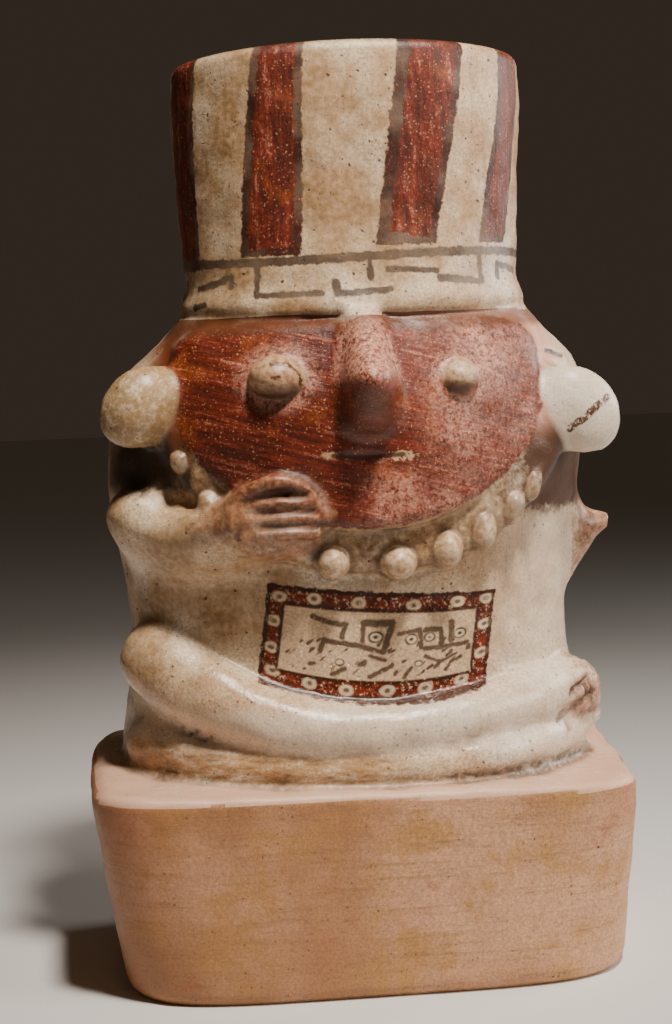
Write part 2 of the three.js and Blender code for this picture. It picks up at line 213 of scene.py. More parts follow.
def shield_distance(points, shield):
    """Distance to a pad of clay with a shield's front and outline, its edge rounded."""
    x, y, z = points.T
    front = 0.9 * (shield_front(shield, x, z) - y)
    return np.maximum(rounded_corner(front, shield_outline(shield, x, z), shield["edge"]), y - SHIELD_BACK)


def loft_distance(points, table, centre_y, power):
    """Distance to a stack of superellipses whose sizes follow a table of heights."""
    half_x, half_y, centre_x = stations_at(table, points[:, 2])
    return oval(points[:, 0] - centre_x, points[:, 1] - centre_y, half_x, half_y, power)


def nose_distance(points):
    """Distance to the wedge nose, between its two ends."""
    z = points[:, 2]
    past_ends = np.abs(z - NOSE_MIDDLE) - NOSE_REACH
    return np.maximum(loft_distance(points, NOSE, NOSE_BACK, NOSE_POWER), past_ends)


def stub_distance(points):
    """Distance to the broken arm's stub: ellipses across x, cut off at its tip."""
    half_z, half_y, middle = stations_at(STUB, points[:, 0])
    side = oval(points[:, 2] - middle, points[:, 1] - STUB_Y, half_z, half_y, 2.0)
    return np.maximum(side, points[:, 0] - STUB_TIP)


def block_top(x, y):
    """Height of the block's top, which slopes a little both ways."""
    return BLOCK_HEIGHT + SLOPE_X * (x - TOP_X) + SLOPE_Y * (y + FOOT[1])


def block_distance(points):
    """Distance to the block: its side widens upwards, and its top edge is sharper along the front."""
    x, y, z = points.T
    part = np.clip(z / BLOCK_HEIGHT, 0, 1)
    flare = 1 + REAR_FLARE * (x > 0) * (0.5 + y / (2 * FOOT[1]))
    half_x = FOOT[0] + part * (TOP_HALF_WIDTH - FOOT[0])
    power = FOOT[2] + part * (TOP_POWER - FOOT[2])
    side = oval(x / flare - part * TOP_X, y, half_x, FOOT[1], power)
    front = np.clip((-y / FOOT[1] - 0.5) / 0.45, 0, 1)
    edge = SIDE_EDGE + front**2 * (3 - 2 * front) * (FRONT_EDGE - SIDE_EDGE)
    return rounded_corner(rounded_corner(side, z - block_top(x, y), edge), -z, FOOT_EDGE)


def bead_pellets():
    """The collar's beads as pellets, set just inside its outline."""
    for x, wide, high in BEADS:
        across = (x - COLLAR["x"]) / (BEAD_REACH * COLLAR["half_width"])
        z = COLLAR["z"] - BEAD_REACH * COLLAR["down"] * math.sqrt(1 - across**2)
        y = float(shield_front(COLLAR, np.array(x), np.array(z))) + BEAD_SINK
        yield (x, y, z), (wide, 1.2 * wide, high), 20 * across


def lump(kind, shape, blend, sign=1):
    """A pellet or a roll as a lump: (centre, reach, its distance, blend, sign)."""
    if kind is pellet_distance:
        centre, reach = np.array(shape[0]), max(shape[1])
    else:
        curve = smooth_route(*shape)[:, :3]
        centre = (curve.max(0) + curve.min(0)) / 2
        reach = np.linalg.norm(curve - centre, axis=1).max() + max(shape[1])
    return centre, reach, lambda points: kind(points, *shape), blend, sign


def applied_lumps():
    """The clay put on to the body, in order, then what was cut into it. Sign -1 cuts."""
    yield np.array([1, -30, 160]), 62, lambda points: shield_distance(points, COLLAR), 2.5, 1
    yield np.array([1, -30, 160]), 62, lambda points: shield_distance(points, FACE), 1.5, 1
    yield np.array([1.5, -45, 171]), 26, nose_distance, 3.5, 1
    for pellets, blend in ((EARS, 5.0), (bead_pellets(), 0.9), (EYES, 1.0), ([ELBOW], 4.0)):
        for pellet in pellets:
            yield lump(pellet_distance, pellet, blend)
    yield lump(roll_distance, ARM_BED, 7.0)
    yield lump(roll_distance, FOREARM, 4.0)
    yield lump(pellet_distance, PALM, 4.0)
    yield lump(roll_distance, THUMB, 1.0)
    for finger in FINGERS:
        yield lump(roll_distance, finger, 0.8)
    yield np.array([68, -1, 124]), 20, stub_distance, 5.0, 1
    yield lump(roll_distance, LOWER_LEG, 3.0)
    yield lump(roll_distance, SHIN, 1.8)
    yield lump(pellet_distance, KNEE_HAND, 4.0)
    for finger in KNEE_FINGERS:
        yield lump(roll_distance, finger, 0.8)
    for cut, blend in [(MOUTH, 0.8), (CHIP, 0.5)] + [(slit, 0.6) for slit in FINGER_SLITS + KNEE_SLITS]:
        yield lump(roll_distance, cut, blend, -1)


LUMPS = list(applied_lumps())


def clay_distance(points, reach=8.0):
    """Distance to the whole vessel's outside. A lump is worked out only for the points near it."""
    z = points[:, 2]
    body = np.maximum(loft_distance(points, BODY, BODY_Y, FIGURE_POWER), z - BODY_TOP)
    d = join(body, block_distance(points), BLOCK_FILLET)
    hood = rounded_corner(loft_distance(points, HEADDRESS, BODY_Y, FIGURE_POWER), BAND_EDGE - z, BAND_ROUND)
    d = join(d, hood, BAND_ROUND)
    for centre, size, distance, blend, sign in LUMPS:
        near = np.linalg.norm(points - centre, axis=1) < size + reach
        if near.any():
            d[near] = sign * join(sign * d[near], distance(points[near]), blend)
    return d


def clay_gradient(points, step=0.2):
    """Distance and its gradient at each point, from four points round it."""
    corners = np.array([[1, -1, -1], [-1, -1, 1], [-1, 1, -1], [1, 1, 1]], float)
    d = clay_distance((points[None] + step * corners[:, None]).reshape(-1, 3)).reshape(4, -1)
    return d.mean(0), np.einsum("kn,kc->nc", d, corners) / (4 * step)


COLUMNS = 372
# Rows' rays run from an outer ring to an inner one: outer height, half width, half depth, then the same of
# the inner ring, centre x, centre y, power of both, and the number of rows to the next line
RAYS = [
    (-14, 74, 54, 12, 56, 36, 0, 0, 5.0, 3),
    (1, 84, 62, 6, 50, 32, 0, 0, 5.0, 3),
    (8, 86, 64, 8, 50, 32, 0, 0, 5.0, 14),
    (48, 92, 66, 44, 50, 32, -2, 0, 6.0, 8),
    (68, 88, 60, 46, 66, 40, -2, 0, 6.0, 12),
    (78, 84, 56, 56, 60, 36, -1, 0, 4.0, 9),
    (84, 84, 58, 72, 52, 26, -1, 0, 3.2, 24),
    (104, 84, 60, 100, 50, 20, -1, 0, 2.8, 20),
    (122, 84, 62, 122, 48, 18, -1, 0, 2.6, 78),
    (180, 80, 62, 179, 40, 20, 2, 4, 2.4, 10),
    (189, 72, 62, 186.5, 36, 20, 3, 6, 2.4, 9),
    (196, 64, 56, 194, 36, 22, 3, 7, 2.3, 34),
    (257, 64, 54, 257, 38, 26, 3.5, 7, 2.3, 0),
]
# The underside's rows as parts of its outline, the lip's rows as turns over it, and those that are painted
UNDER_PARTS = (0.05, 0.35, 0.65, 0.9, 0.98)
LIP_TURNS = (8, 35, 62, 90, 118, 145, 172)
PAINTED_LIP_ROWS = 6
# Heights of the inside's rows, and (height, part of the block's inside) for the lowest
INSIDE_HEIGHTS = [(HEADDRESS, (240, 222, 205, 192)), (BODY, (182, 172, 160, 140, 118, 96, 76, 56, 48))]
INSIDE_BLOCK = [(44, 0.99), (26, 0.985), (12, 0.97), (8, 0.9), (8, 0.55), (8, 0.2)]
# The chest's faces, which carry the panel
CHEST_HALF_WIDTH = 38.0
CHEST_LOW = 76.0
CHEST_HIGH = 116.5
# Depth, wave length and seed of the hand-worked unevenness
HAND_BUMPS = [(0.35, 46, 3), (0.22, 17, 5), (0.1, 6.5, 8)]
CLOSE_PART = 0.75
CLOSE_HALF_ANGLE = 105.0


def column_angles():
    """Plan angles of the grid's columns: CLOSE_PART of them, evenly, on the front, and the rest behind."""
    knots = np.array([0, (1 - CLOSE_PART) / 2, (1 + CLOSE_PART) / 2, 1])
    angles = np.array([90 - 360, -90 - CLOSE_HALF_ANGLE, -90 + CLOSE_HALF_ANGLE, 90])
    return np.radians(np.interp(np.arange(COLUMNS) / COLUMNS, knots, angles))


def ring(angles, half_x, half_y, power):
    """Points (x, y) of superellipses on rays at these angles of the scaled plan."""
    c, s = np.cos(angles), np.sin(angles)
    radius = (np.abs(c) ** power + np.abs(s) ** power) ** (-1 / power)
    return half_x * c * radius, half_y * s * radius


def ray_rows():
    """The rays' stations, one line to a grid row: straight steps between the lines of RAYS."""
    rows = []
    for a, b in zip(RAYS[:-1], RAYS[1:]):
        part = (np.arange(a[-1]) / a[-1])[:, None]
        rows.append(np.array(a[:-1]) * (1 - part) + np.array(b[:-1]) * part)
    rows = np.vstack(rows + [np.array(RAYS[-1][:-1])[None]])
    soft = rows.copy()
    for _ in range(6):
        soft[1:-1] = (soft[:-2] + 2 * soft[1:-1] + soft[2:]) / 4
    return soft


def cast_surface():
    """The grid of points where rays first meet the clay: steps along each by the distance that is left."""
    z_out, a_out, b_out, z_in, a_in, b_in, cx, cy, power = (c[:, None] for c in ray_rows().T)
    ends = []
    for z, half_x, half_y in ((z_out, a_out, b_out), (z_in, a_in, b_in)):
        x, y = ring(column_angles()[None], half_x, half_y, power)
        ends.append(np.stack([x + cx, y + cy, z + 0 * x], -1).reshape(-1, 3))
    start, aim = ends[0], ends[1] - ends[0]
    length = np.linalg.norm(aim, axis=1)
    aim = aim / length[:, None]
    along = np.zeros(len(start))
    moving = np.arange(len(start))
    for _ in range(50):
        d = clay_distance(start[moving] + along[moving, None] * aim[moving])
        along[moving] = np.minimum(along[moving] + 0.75 * np.maximum(d, 0), length[moving])
        moving = moving[d > 0.02]
        if not len(moving):
            break
    return (start + along[:, None] * aim).reshape(-1, COLUMNS, 3)


def even_out(grid, steps, rate):
    """Slides the points along the clay towards their neighbours' mean, then back on to its surface."""
    for k in range(steps):
        points = grid.reshape(-1, 3)
        d, g = clay_gradient(points)
        size = np.maximum(np.linalg.norm(g, axis=1), 0.4)
        n = g / size[:, None]
        points = points - n * np.clip(d / size, -0.8, 0.8)[:, None]
        if k < steps - 1:
            inner = points.reshape(grid.shape)
            beside = np.roll(inner, -1, 1) + np.roll(inner, 1, 1)
            above, below = np.vstack([inner[1:], inner[-1:]]), np.vstack([inner[:1], inner[:-1]])
            slide = ((beside + above + below) / 4 - inner).reshape(-1, 3)
            slide -= (slide * n).sum(1, keepdims=True) * n
            points = points + rate * slide
        grid = points.reshape(grid.shape)
    return grid


def handmade(points, scale, seed):
    """Slow unevenness of hand-worked clay: sines along seven seeded directions, summed, about -1 to 1."""
    rng = np.random.default_rng(seed)
    total = 0
    for _ in range(7):
        direction = rng.normal(size=3)
        direction /= np.linalg.norm(direction)
        wave = scale * rng.uniform(0.7, 1.5)
        total = total + np.sin(points @ direction * 2 * math.pi / wave + rng.uniform(0, 6.28))
    return total / 3.2


def level_row(angles, z, half_x, half_y, power, centre_x=0.0, centre_y=0.0):
    """A grid row round a superellipse at one height."""
    x, y = ring(angles, half_x, half_y, power)
    return np.column_stack([x + centre_x, y + centre_y, np.full(len(x), float(z))])


def lip_and_inside(top_row, angles):
    """Rows over the rounded lip and down the plain inside to the floor, from the outside's last row."""
    centre = np.array([HEADDRESS[-1, 3], BODY_Y])
    out = top_row[:, :2] - centre
    rim = RIM_TOP - RIM_DIP * ((top_row[:, 0] - HEADDRESS[-1, 3]) / RIM_HALF_WIDTH) ** 2
    rows = []
    for turn in np.radians(LIP_TURNS):
        inset = 1 - (WALL / 2) * (1 - math.cos(turn)) / np.linalg.norm(out, axis=1, keepdims=True)
        rows.append(np.column_stack([centre + out * inset, rim - LIP_ROUND + LIP_ROUND * math.sin(turn)]))
    for table, heights in INSIDE_HEIGHTS:
        for z in heights:
            half_x, half_y, centre_x = stations_at(table, np.full(len(angles), float(z)))
            rows.append(level_row(angles, z, half_x - WALL, half_y - WALL, FIGURE_POWER, centre_x, BODY_Y))
    for z, shrink in INSIDE_BLOCK:
        inner_x, inner_y = ((half - BLOCK_WALL) * shrink for half in FOOT[:2])
        rows.append(level_row(angles, z, inner_x, inner_y, FOOT[2]))
    return np.array(rows)


def unit(vectors):
    """Vectors scaled to a length of one."""
    return vectors / np.maximum(np.linalg.norm(vectors, axis=1, keepdims=True), 1e-6)


def vessel_grid():
    """All rows: from the underside's middle, up the outside, over the lip, down to the inside's floor."""
    angles = column_angles()
    outside = even_out(cast_surface(), 5, 0.5)
    flat = outside.reshape(-1, 3)
    fade = np.clip(flat[:, 2] / 6, 0, 1) * np.clip((262 - flat[:, 2]) / 12, 0, 1)
    bumps = sum(depth * handmade(flat, scale, seed) for depth, scale, seed in HAND_BUMPS)
    outside = (flat + unit(clay_gradient(flat)[1]) * (fade * bumps)[:, None]).reshape(outside.shape)
    outside[..., 2] = np.maximum(outside[..., 2], 0)
    under = [outside[0] * np.array([part, part, 0]) for part in UNDER_PARTS]
    return np.concatenate([np.array(under), outside, lip_and_inside(outside[-1], angles)])


def closed_mesh(name, grid, low_pole, high_pole):
    """A mesh of the grid's quads, wrapped round its columns and closed by a fan to a pole at each end."""
    rows, columns, _ = grid.shape
    at = np.arange(rows * columns).reshape(rows, columns)
    nxt = np.roll(at, -1, 1)
    low, high = (np.full(columns, rows * columns + k) for k in range(2))
    quads = np.stack([at[:-1], nxt[:-1], nxt[1:], at[1:]], -1).ravel()
    fans = np.vstack([np.stack([nxt[0], at[0], low], -1), np.stack([at[-1], nxt[-1], high], -1)]).ravel()
    points = np.vstack([grid.reshape(-1, 3), low_pole, high_pole]) / 1000
    loops = np.concatenate([quads, fans])
    sizes = np.repeat([4, 3], [len(quads) // 4, 2 * columns])
    mesh = bpy.data.meshes.new(name)
    mesh.vertices.add(len(points))
    mesh.vertices.foreach_set("co", points.ravel())
    mesh.loops.add(len(loops))
    mesh.loops.foreach_set("vertex_index", loops)
    mesh.polygons.add(len(sizes))
    mesh.polygons.foreach_set("loop_start", np.cumsum(sizes) - sizes)
    mesh.polygons.foreach_set("loop_total", sizes)
    mesh.update(calc_edges=True)
    mesh.validate()
    mesh.shade_smooth()
    return mesh


def put_attribute(mesh, name, values):
    """Up to three numbers to each vertex. The two poles, and a number not given, take zero."""
    filled = np.zeros((len(mesh.vertices), 3))
    filled[:-2, :len(values)] = np.stack(values, 1)
    mesh.attributes.new(name, "FLOAT_VECTOR", "POINT").data.foreach_set("vector", filled.ravel())


def put_finishes(mesh, grid, above_block):
    """Numbers each face's finish: 0 block, 1 figure, 2 chest and panel, 3 band, 4 headdress, 5 inside."""
    rows, columns, _ = grid.shape
    outer_rows = len(UNDER_PARTS) + len(ray_rows()) + PAINTED_LIP_ROWS
    row = np.repeat(np.arange(rows - 1), columns)
    x, y, z = grid[:-1].reshape(-1, 3).T
    off_block = above_block.reshape(rows, columns)
    above = np.maximum(off_block[:-1], off_block[1:]).ravel()
    chest = (np.abs(x - PANEL_X) < CHEST_HALF_WIDTH) & (y < 0) & (z > CHEST_LOW) & (z < CHEST_HIGH)
    places = [row >= outer_rows, above < -1.5, z > BAND_TOP, z > BAND_EDGE - 0.4, chest]
    number = np.select(places, [5, 0, 4, 3, 2], 1)
    number = np.concatenate([number, np.zeros(columns, int), np.full(columns, 5)])
    mesh.polygons.foreach_set("material_index", number.astype(np.int32))


def nearest(points, distance, shapes):
    """Distance to the nearest of some pellets or rolls, at most 60 mm."""
    return np.minimum.reduce([distance(points, *shape) for shape in shapes]).clip(max=60)


def limb_distance(points):
    """Distance to both hands and the broken stub, whose slip has worn to the red clay."""
    stub = np.where(points[:, 0] > STUB[0, 0] + 6, stub_distance(points), 30)
    hands = nearest(points, pellet_distance, [PALM, KNEE_HAND])
    rolls = nearest(points, roll_distance, [THUMB, *FINGERS, WRIST, KNEE_FINGERS[1]])
    return np.minimum.reduce([hands, rolls, stub])


def crevice(points, n):
    """How deep in a hollow a point lies, 0 to 1: the clay seen a little way out, less than that way."""
    deep = 0
    for out in (1.2, 3.5, 8.0):
        deep = deep + np.clip(1 - clay_distance(points + out * n, 14.0) / out, 0, 1) / 3
    return deep


def proud_edge(points, n):
    """How sharp a ridge a point stands on, 0 to 1, from the clay's depth a little way in."""
    inside = -clay_distance(points - 2.0 * n, 8.0) / 2.0
    return np.clip((1 - inside) * 1.6, 0, 1)


def make_vessel():
    """The whole fired vessel as one piece, with the distances that its paint follows."""
    grid = vessel_grid()
    mesh = closed_mesh("fired_vessel", grid, np.array([0, 0, 0.0]), np.array([0, 0, 8.0]))
    points = grid.reshape(-1, 3)
    n = unit(clay_gradient(points)[1])
    face = np.where(points[:, 1] < 2, shield_outline(FACE, points[:, 0], points[:, 2]), 40)
    nose, collar, limbs = nose_distance(points), shield_distance(points, COLLAR), limb_distance(points)
    pellets = (list(bead_pellets()), EARS, EYES)
    beads, ears, eyes = (nearest(points, pellet_distance, group) for group in pellets)
    block = points[:, 2] - block_top(points[:, 0], points[:, 1])
    put_finishes(mesh, grid, block)
    put_attribute(mesh, "face_zones", (face, np.clip(nose, -20, 40), eyes))
    put_attribute(mesh, "pellet_zones", (beads, ears, np.clip(limbs, -20, 40)))
    put_attribute(mesh, "form_shade", (crevice(points, n), proud_edge(points, n)))
    put_attribute(mesh, "ground_zones", (block, np.minimum(collar, 40), points[:, 2] - BAND_EDGE))
    vessel = bpy.data.objects.new("fired_vessel", mesh)
    bpy.context.collection.objects.link(vessel)
    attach(vessel, "root")
    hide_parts("effigy_vessel")
    return vessel


FLOOR_HALF = 3.0
LIT_POINT = (0, -0.02, 0.13)
# Name, place and size in metres, power in watts, colour and beam in degrees
LAMPS = [
    ("key_above_right", (0.13, -0.37, 0.90), 0.12, 1.0, (1.0, 0.90, 0.80), 50),
    ("side_right", (0.85, -0.50, 0.50), 0.3, 0.60, (1.0, 0.88, 0.78), 60),
    ("fill_left", (-0.6, -1.0, 0.30), 0.9, 0.15, (1.0, 0.52, 0.28), 180),
    ("rim_right", (0.7, 0.2, 0.35), 0.3, 2.6, (1.0, 0.94, 0.88), 180),
]
CAMERA_PLACE = (-0.0669, -0.6365, 0.1895)
CAMERA_DOWN = 5.2
CAMERA_ROLL = 2.2
PAN_PIXELS = 14
FOCAL_PIXELS = 2180
PHOTO_HEIGHT = 1024
SENSOR = 36


def make_floor():
    """A plain pale floor under the vessel."""
    mesh = bpy.data.meshes.new("floor")
    corners = [(-FLOOR_HALF, -FLOOR_HALF, 0), (FLOOR_HALF, -FLOOR_HALF, 0),
               (FLOOR_HALF, FLOOR_HALF, 0), (-FLOOR_HALF, FLOOR_HALF, 0)]
    mesh.from_pydata(corners, [], [(0, 1, 2, 3)])
    floor = bpy.data.objects.new("floor", mesh)
    bpy.context.collection.objects.link(floor)
    material = bpy.data.materials.new("pale_floor")
    material.use_nodes = True
    shader = material.node_tree.nodes["Principled BSDF"]
    shader.inputs["Base Color"].default_value = (0.74, 0.73, 0.71, 1)
    shader.inputs["Roughness"].default_value = 0.7
    mesh.materials.append(material)


def add_light(name, place, size, power, colour, spread):
    """A square soft light that looks at LIT_POINT, its beam `spread` degrees wide."""
    light = bpy.data.lights.new(name, "AREA")
    light.size = size
    light.spread = math.radians(spread)
    light.energy = power
    light.color = colour
    holder = bpy.data.objects.new(name, light)
    holder.location = place
    holder.rotation_euler = (Vector(LIT_POINT) - Vector(place)).to_track_quat("-Z", "Y").to_euler()
    bpy.context.collection.objects.link(holder)


def make_lights():
    """The four soft lamps, and a warm dim room."""
    for lamp in LAMPS:
        add_light(*lamp)
    world = bpy.data.worlds.new("studio")
    world.use_nodes = True
    background = world.node_tree.nodes["Background"]
    background.inputs["Color"].default_value = (1.0, 0.76, 0.54, 1)
    background.inputs["Strength"].default_value = 0.035
    bpy.context.scene.world = world


def make_camera():
    """The photograph's view: from a little left of the front, slightly above, tipped down and rolled."""
    place = Vector(CAMERA_PLACE)
    heading = math.atan2(-place.x, -place.y) - PAN_PIXELS / FOCAL_PIXELS
    down, roll = math.radians(CAMERA_DOWN), math.radians(CAMERA_ROLL)
    ahead = Vector((math.sin(heading) * math.cos(down), math.cos(heading) * math.cos(down), -math.sin(down)))
    level = ahead.cross(Vector((0, 0, 1))).normalized()
    upright = level.cross(ahead)
    right = math.cos(roll) * level - math.sin(roll) * upright
    up = math.sin(roll) * level + math.cos(roll) * upright
    camera = bpy.data.objects.new("camera", bpy.data.cameras.new("camera"))
    camera.matrix_world = Matrix([(*row, at) for *row, at in zip(right, up, -ahead, place)] + [(0, 0, 0, 1)])
    camera.data.sensor_width = SENSOR
    camera.data.lens = SENSOR * FOCAL_PIXELS / PHOTO_HEIGHT
    bpy.context.collection.objects.link(camera)
    bpy.context.scene.camera = camera


class Value:
    """One output in a shader's tree. Arithmetic and comparison on numbers add Math nodes."""

    def __init__(self, tree, socket):
        self.tree = tree
        self.socket = socket

    def maths(self, operation, *others, clamp=False):
        """A Math node's result, with this value first."""
        return add_node(self.tree, "ShaderNodeMath", (self, *others), operation=operation, use_clamp=clamp)[0]

    def __add__(self, other):
        return self.maths("ADD", other)

    def __sub__(self, other):
        return self.maths("SUBTRACT", other)

    def __rsub__(self, other):
        return add_node(self.tree, "ShaderNodeMath", (other, self), operation="SUBTRACT")[0]

    def __mul__(self, other):
        return self.maths("MULTIPLY", other)

    def __truediv__(self, other):
        return self.maths("DIVIDE", other)

    def __lt__(self, other):
        return self.maths("LESS_THAN", other)

    def __gt__(self, other):
        return self.maths("GREATER_THAN", other)

    def __abs__(self):
        return self.maths("ABSOLUTE")


def add_node(tree, kind, inputs=(), **settings):
    """One node with its settings made and its inputs set or linked, by index or name. Returns its outputs."""
    made = tree.nodes.new(kind)
    for name, value in settings.items():
        setattr(made, name, value)
    for key, value in inputs.items() if isinstance(inputs, dict) else enumerate(inputs):
        socket = made.inputs[key]
        if isinstance(value, Value):
            tree.links.new(value.socket, socket)
        else:
            socket.default_value = (*value, 1) if socket.type == "RGBA" else value
    return [Value(tree, output) for output in made.outputs]


def vector_maths(operation, *values):
    """A Vector Math node's result."""
    keys = (0, 3) if operation == "SCALE" else range(len(values))
    outputs = add_node(values[0].tree, "ShaderNodeVectorMath", dict(zip(keys, values)), operation=operation)
    return outputs[1 if operation in ("DOT_PRODUCT", "LENGTH") else 0]


def vector(x, y, z):
    """A vector of three numbers."""
    return add_node(x.tree, "ShaderNodeCombineXYZ", (x, y, z))[0]


def parts(value):
    """A vector's three numbers."""
    return add_node(value.tree, "ShaderNodeSeparateXYZ", (value,))


def scaled(value, gain, offset):
    """A value times a gain, plus an offset."""
    return value.maths("MULTIPLY_ADD", gain, offset)


def least(*values):
    """The least of some values."""
    return functools.reduce(lambda a, b: a.maths("MINIMUM", b), values)


def greatest(*values):
    """The greatest of some values."""
    return functools.reduce(lambda a, b: a.maths("MAXIMUM", b), values)


def linear(value, low, high, start, end):
    """`start` below `low`, `end` above `high`, and straight between them."""
    return add_node(value.tree, "ShaderNodeMapRange", (value, low, high, start, end))[0]


def ramp(value, low, high):
    """0 below `low` and 1 above `high`, smoothly, or the other way round where low is the greater."""
    ends = (low, high, 0, 1) if low <= high else (high, low, 1, 0)
    return add_node(value.tree, "ShaderNodeMapRange", (value, *ends), interpolation_type="SMOOTHSTEP")[0]


def mix(factor, a, b, blend="MIX"):
    """Colour b over colour a by the factor."""
    tree = next(v.tree for v in (factor, a, b) if isinstance(v, Value))
    return add_node(tree, "ShaderNodeMix", {0: factor, 6: a, 7: b}, data_type="RGBA", blend_type=blend)[2]


def coated(colour, *coats):
    """A colour under some coats, in order, each given as its mask and its own colour."""
    for mask, tone in coats:
        colour = mix(mask, colour, tone)
    return colour


def mix_numbers(factor, a, b):
    """Number a where the factor is 0, b where it is 1."""
    return add_node(factor.tree, "ShaderNodeMix", {0: factor, 2: a, 3: b}, data_type="FLOAT")[0]


def noise(place, scale, detail=2.0, rough=0.5, stretch=None):
    """Noise of `scale` waves to a millimetre, about 0.2 to 0.8, its place stretched first where asked."""
    if stretch:
        place = vector_maths("MULTIPLY", place, stretch)
    inputs = {"Vector": place, "Scale": scale, "Detail": detail, "Roughness": rough}
    return add_node(place.tree, "ShaderNodeTexNoise", inputs)[0]


def broad_clouds(place):
    """Noise in clouds about 45 mm across."""
    return noise(place, 0.022, 3.0, 0.55)


def clouds(place):
    """Noise in clouds about 14 mm across."""
    return noise(place, 0.07, 4.0, 0.6)


def grain_of(place):
    """Fine noise, less than 2 mm across."""
    return noise(place, 0.6, 5.0, 0.65)


def turned(place, degrees, stretch):
    """The place turned about Y and then stretched, so that what is drawn on it slants."""
    inputs = {"Vector": place, "Angle": math.radians(degrees)}
    spun = add_node(place.tree, "ShaderNodeVectorRotate", inputs, rotation_type="Y_AXIS")[0]
    return vector_maths("MULTIPLY", spun, stretch)


def mottled(colour, place, depth):
    """A colour made darker and lighter by fine uneven spots, by up to `depth` each way."""
    shade = linear(noise(place, 1.2, 3.0, 0.8), 0.3, 0.7, 1 - depth, 1 + depth)
    return mix(1.0, colour, vector(shade, shade, shade), "MULTIPLY")


def effect(*outputs, **inputs):
    """Turns the function under it into a shared node group. A call of its name then places that group.

    The function takes the group's inputs as values, its place first, and returns its outputs. An input that
    starts as None is a vector.
    """
    starts = {"place": None, **inputs}

    def fill(build):
        tree = bpy.data.node_groups.new(build.__name__, "ShaderNodeTree")
        for name, start in starts.items():
            kind = "NodeSocketVector" if start is None else "NodeSocketFloat"
            tree.interface.new_socket(name, in_out="INPUT", socket_type=kind)
        for name in outputs:
            kind = "NodeSocketColor" if name == "colour" else "NodeSocketFloat"
            tree.interface.new_socket(name, in_out="OUTPUT", socket_type=kind)
        source = tree.nodes.new("NodeGroupInput").outputs
        result = tree.nodes.new("NodeGroupOutput").inputs
        made = build(*(Value(tree, source[name]) for name in starts))
        for value, name in zip(made if len(outputs) > 1 else [made], outputs):
            tree.links.new(value.socket, result[name])

        def place_group(place, **values):
            given = {**inputs, "place": place, **values}
            placed = add_node(place.tree, "ShaderNodeGroup", given, node_tree=tree)
            return placed if len(outputs) > 1 else placed[0]
        return place_group
    return fill


def tint(red, green, blue):
    """A colour given in the screen's 0 to 255, as the linear light that a shader takes."""
    screen = np.array([red, green, blue]) / 255
    return tuple(np.where(screen < 0.04045, screen / 12.92, ((screen + 0.055) / 1.055) ** 2.4).tolist())


CREAM = tint(214, 190, 158)
CREAM_WARM = tint(192, 156, 120)
CREAM_WHITE = tint(236, 226, 210)
OLIVE = tint(140, 108, 62)
RED = tint(122, 46, 26)
RED_DEEP = tint(76, 31, 20)
RED_DARKEST = tint(54, 26, 24)
PINK = tint(206, 150, 128)
ORANGE = tint(168, 84, 36)
BROWN = tint(86, 52, 30)
DARK_BROWN = tint(50, 32, 22)
GREY_BROWN = tint(104, 88, 72)
CLAY = tint(168, 120, 82)
CLAY_PALE = tint(202, 156, 122)
CLAY_YELLOW = tint(180, 134, 78)
# Painted shade: a darker clay for the block's left.
PAINTED_SHADE_CLAY = tint(132, 84, 46)
CLAY_RED = tint(150, 76, 50)
HAND_RED = tint(112, 64, 40)
HAND_PINK = tint(178, 126, 92)
EYE_TAN = tint(152, 104, 76)
BEAD_TAN = tint(172, 134, 96)
EAR_OLIVE = tint(146, 116, 70)
WASH_BROWN = tint(112, 58, 34)
NECK_BROWN = tint(70, 40, 24)
RED_GRIT = tint(196, 140, 104)
# Painted light: paler clay for the block's top, where the light from above falls.
PAINTED_TOP_LIGHT = tint(224, 184, 158)

HEADDRESS_X = 3.5
HEADDRESS_HALF_WIDTH = 50.5
HEADDRESS_HALF_DEPTH = 41.5
STRIPES_FROM = 206.0
STRIPES_REACH = 52.0
# A stripe's plan angles in degrees from the front, left and right at the band, then at the lip. After them
# the width of the dark line on the left and on the right in millimetres, and the height of the low end
STRIPES = [
    (-80, -60, -83, -58.5, 1.2, 1.8, 203),
    (-41, -20.4, -34.4, -17.6, 2.0, 2.0, 206),
    (3.1, 22.5, 11.9, 34.0, 3.2, 2.0, 208),
    (39.8, 54.5, 51.6, 70.6, 2.2, 1.4, 208),
    (88, 106, 98, 117, 1.4, 1.2, 207),
    (132, 150, 136, 154, 1.4, 1.2, 207),
    (174, 192, 171, 190, 1.4, 1.2, 206),
    (-133, -115, -138, -119, 1.4, 1.2, 206),
]
# The band's hooked frets in front, as (angle, height) pairs joined by strokes of one half width
BAND_STROKES = [
    ([(-35.3, 203.5), (-35, 195.2), (-14, 195.2)], 0.55),
    ([(-61, 197.6), (-51, 199), (-45, 200.8), (-45, 198)], 0.7),
    ([(-62, 192.5), (-56, 193.2)], 0.6), ([(-9.6, 198.4), (-9.3, 195), (7, 195.6)], 0.6),
    ([(1, 203.5), (1.6, 199.2)], 0.5), ([(7, 201.2), (23, 200.4)], 0.5), ([(24, 198.4), (38, 197)], 0.75),
    ([(39.5, 204), (39.6, 197)], 0.6), ([(49, 198.2), (49.5, 201.8), (64, 200)], 0.7),
]
# One hooked fret of the back, which repeats every FRET_PITCH degrees
BACK_FRET = [([(-10, 203.5), (-10, 195.5), (6, 195.5), (6, 199.5), (-3, 199.5)], 0.55)]
FRET_PITCH = 36.0
FRONT_HALF_ANGLE = 72.0
BAND_LINE_HEIGHT = 205.0
BAND_LINE_HALF_WIDTH = 0.95
MM_PER_DEGREE = 0.8

# Cream left at the corners of the mouth: middle x and height, half width, half height
LIP_CORNERS = [(-9.4, 150.9, 2.1, 0.9), (10.6, 150.0, 3.4, 1.4)]
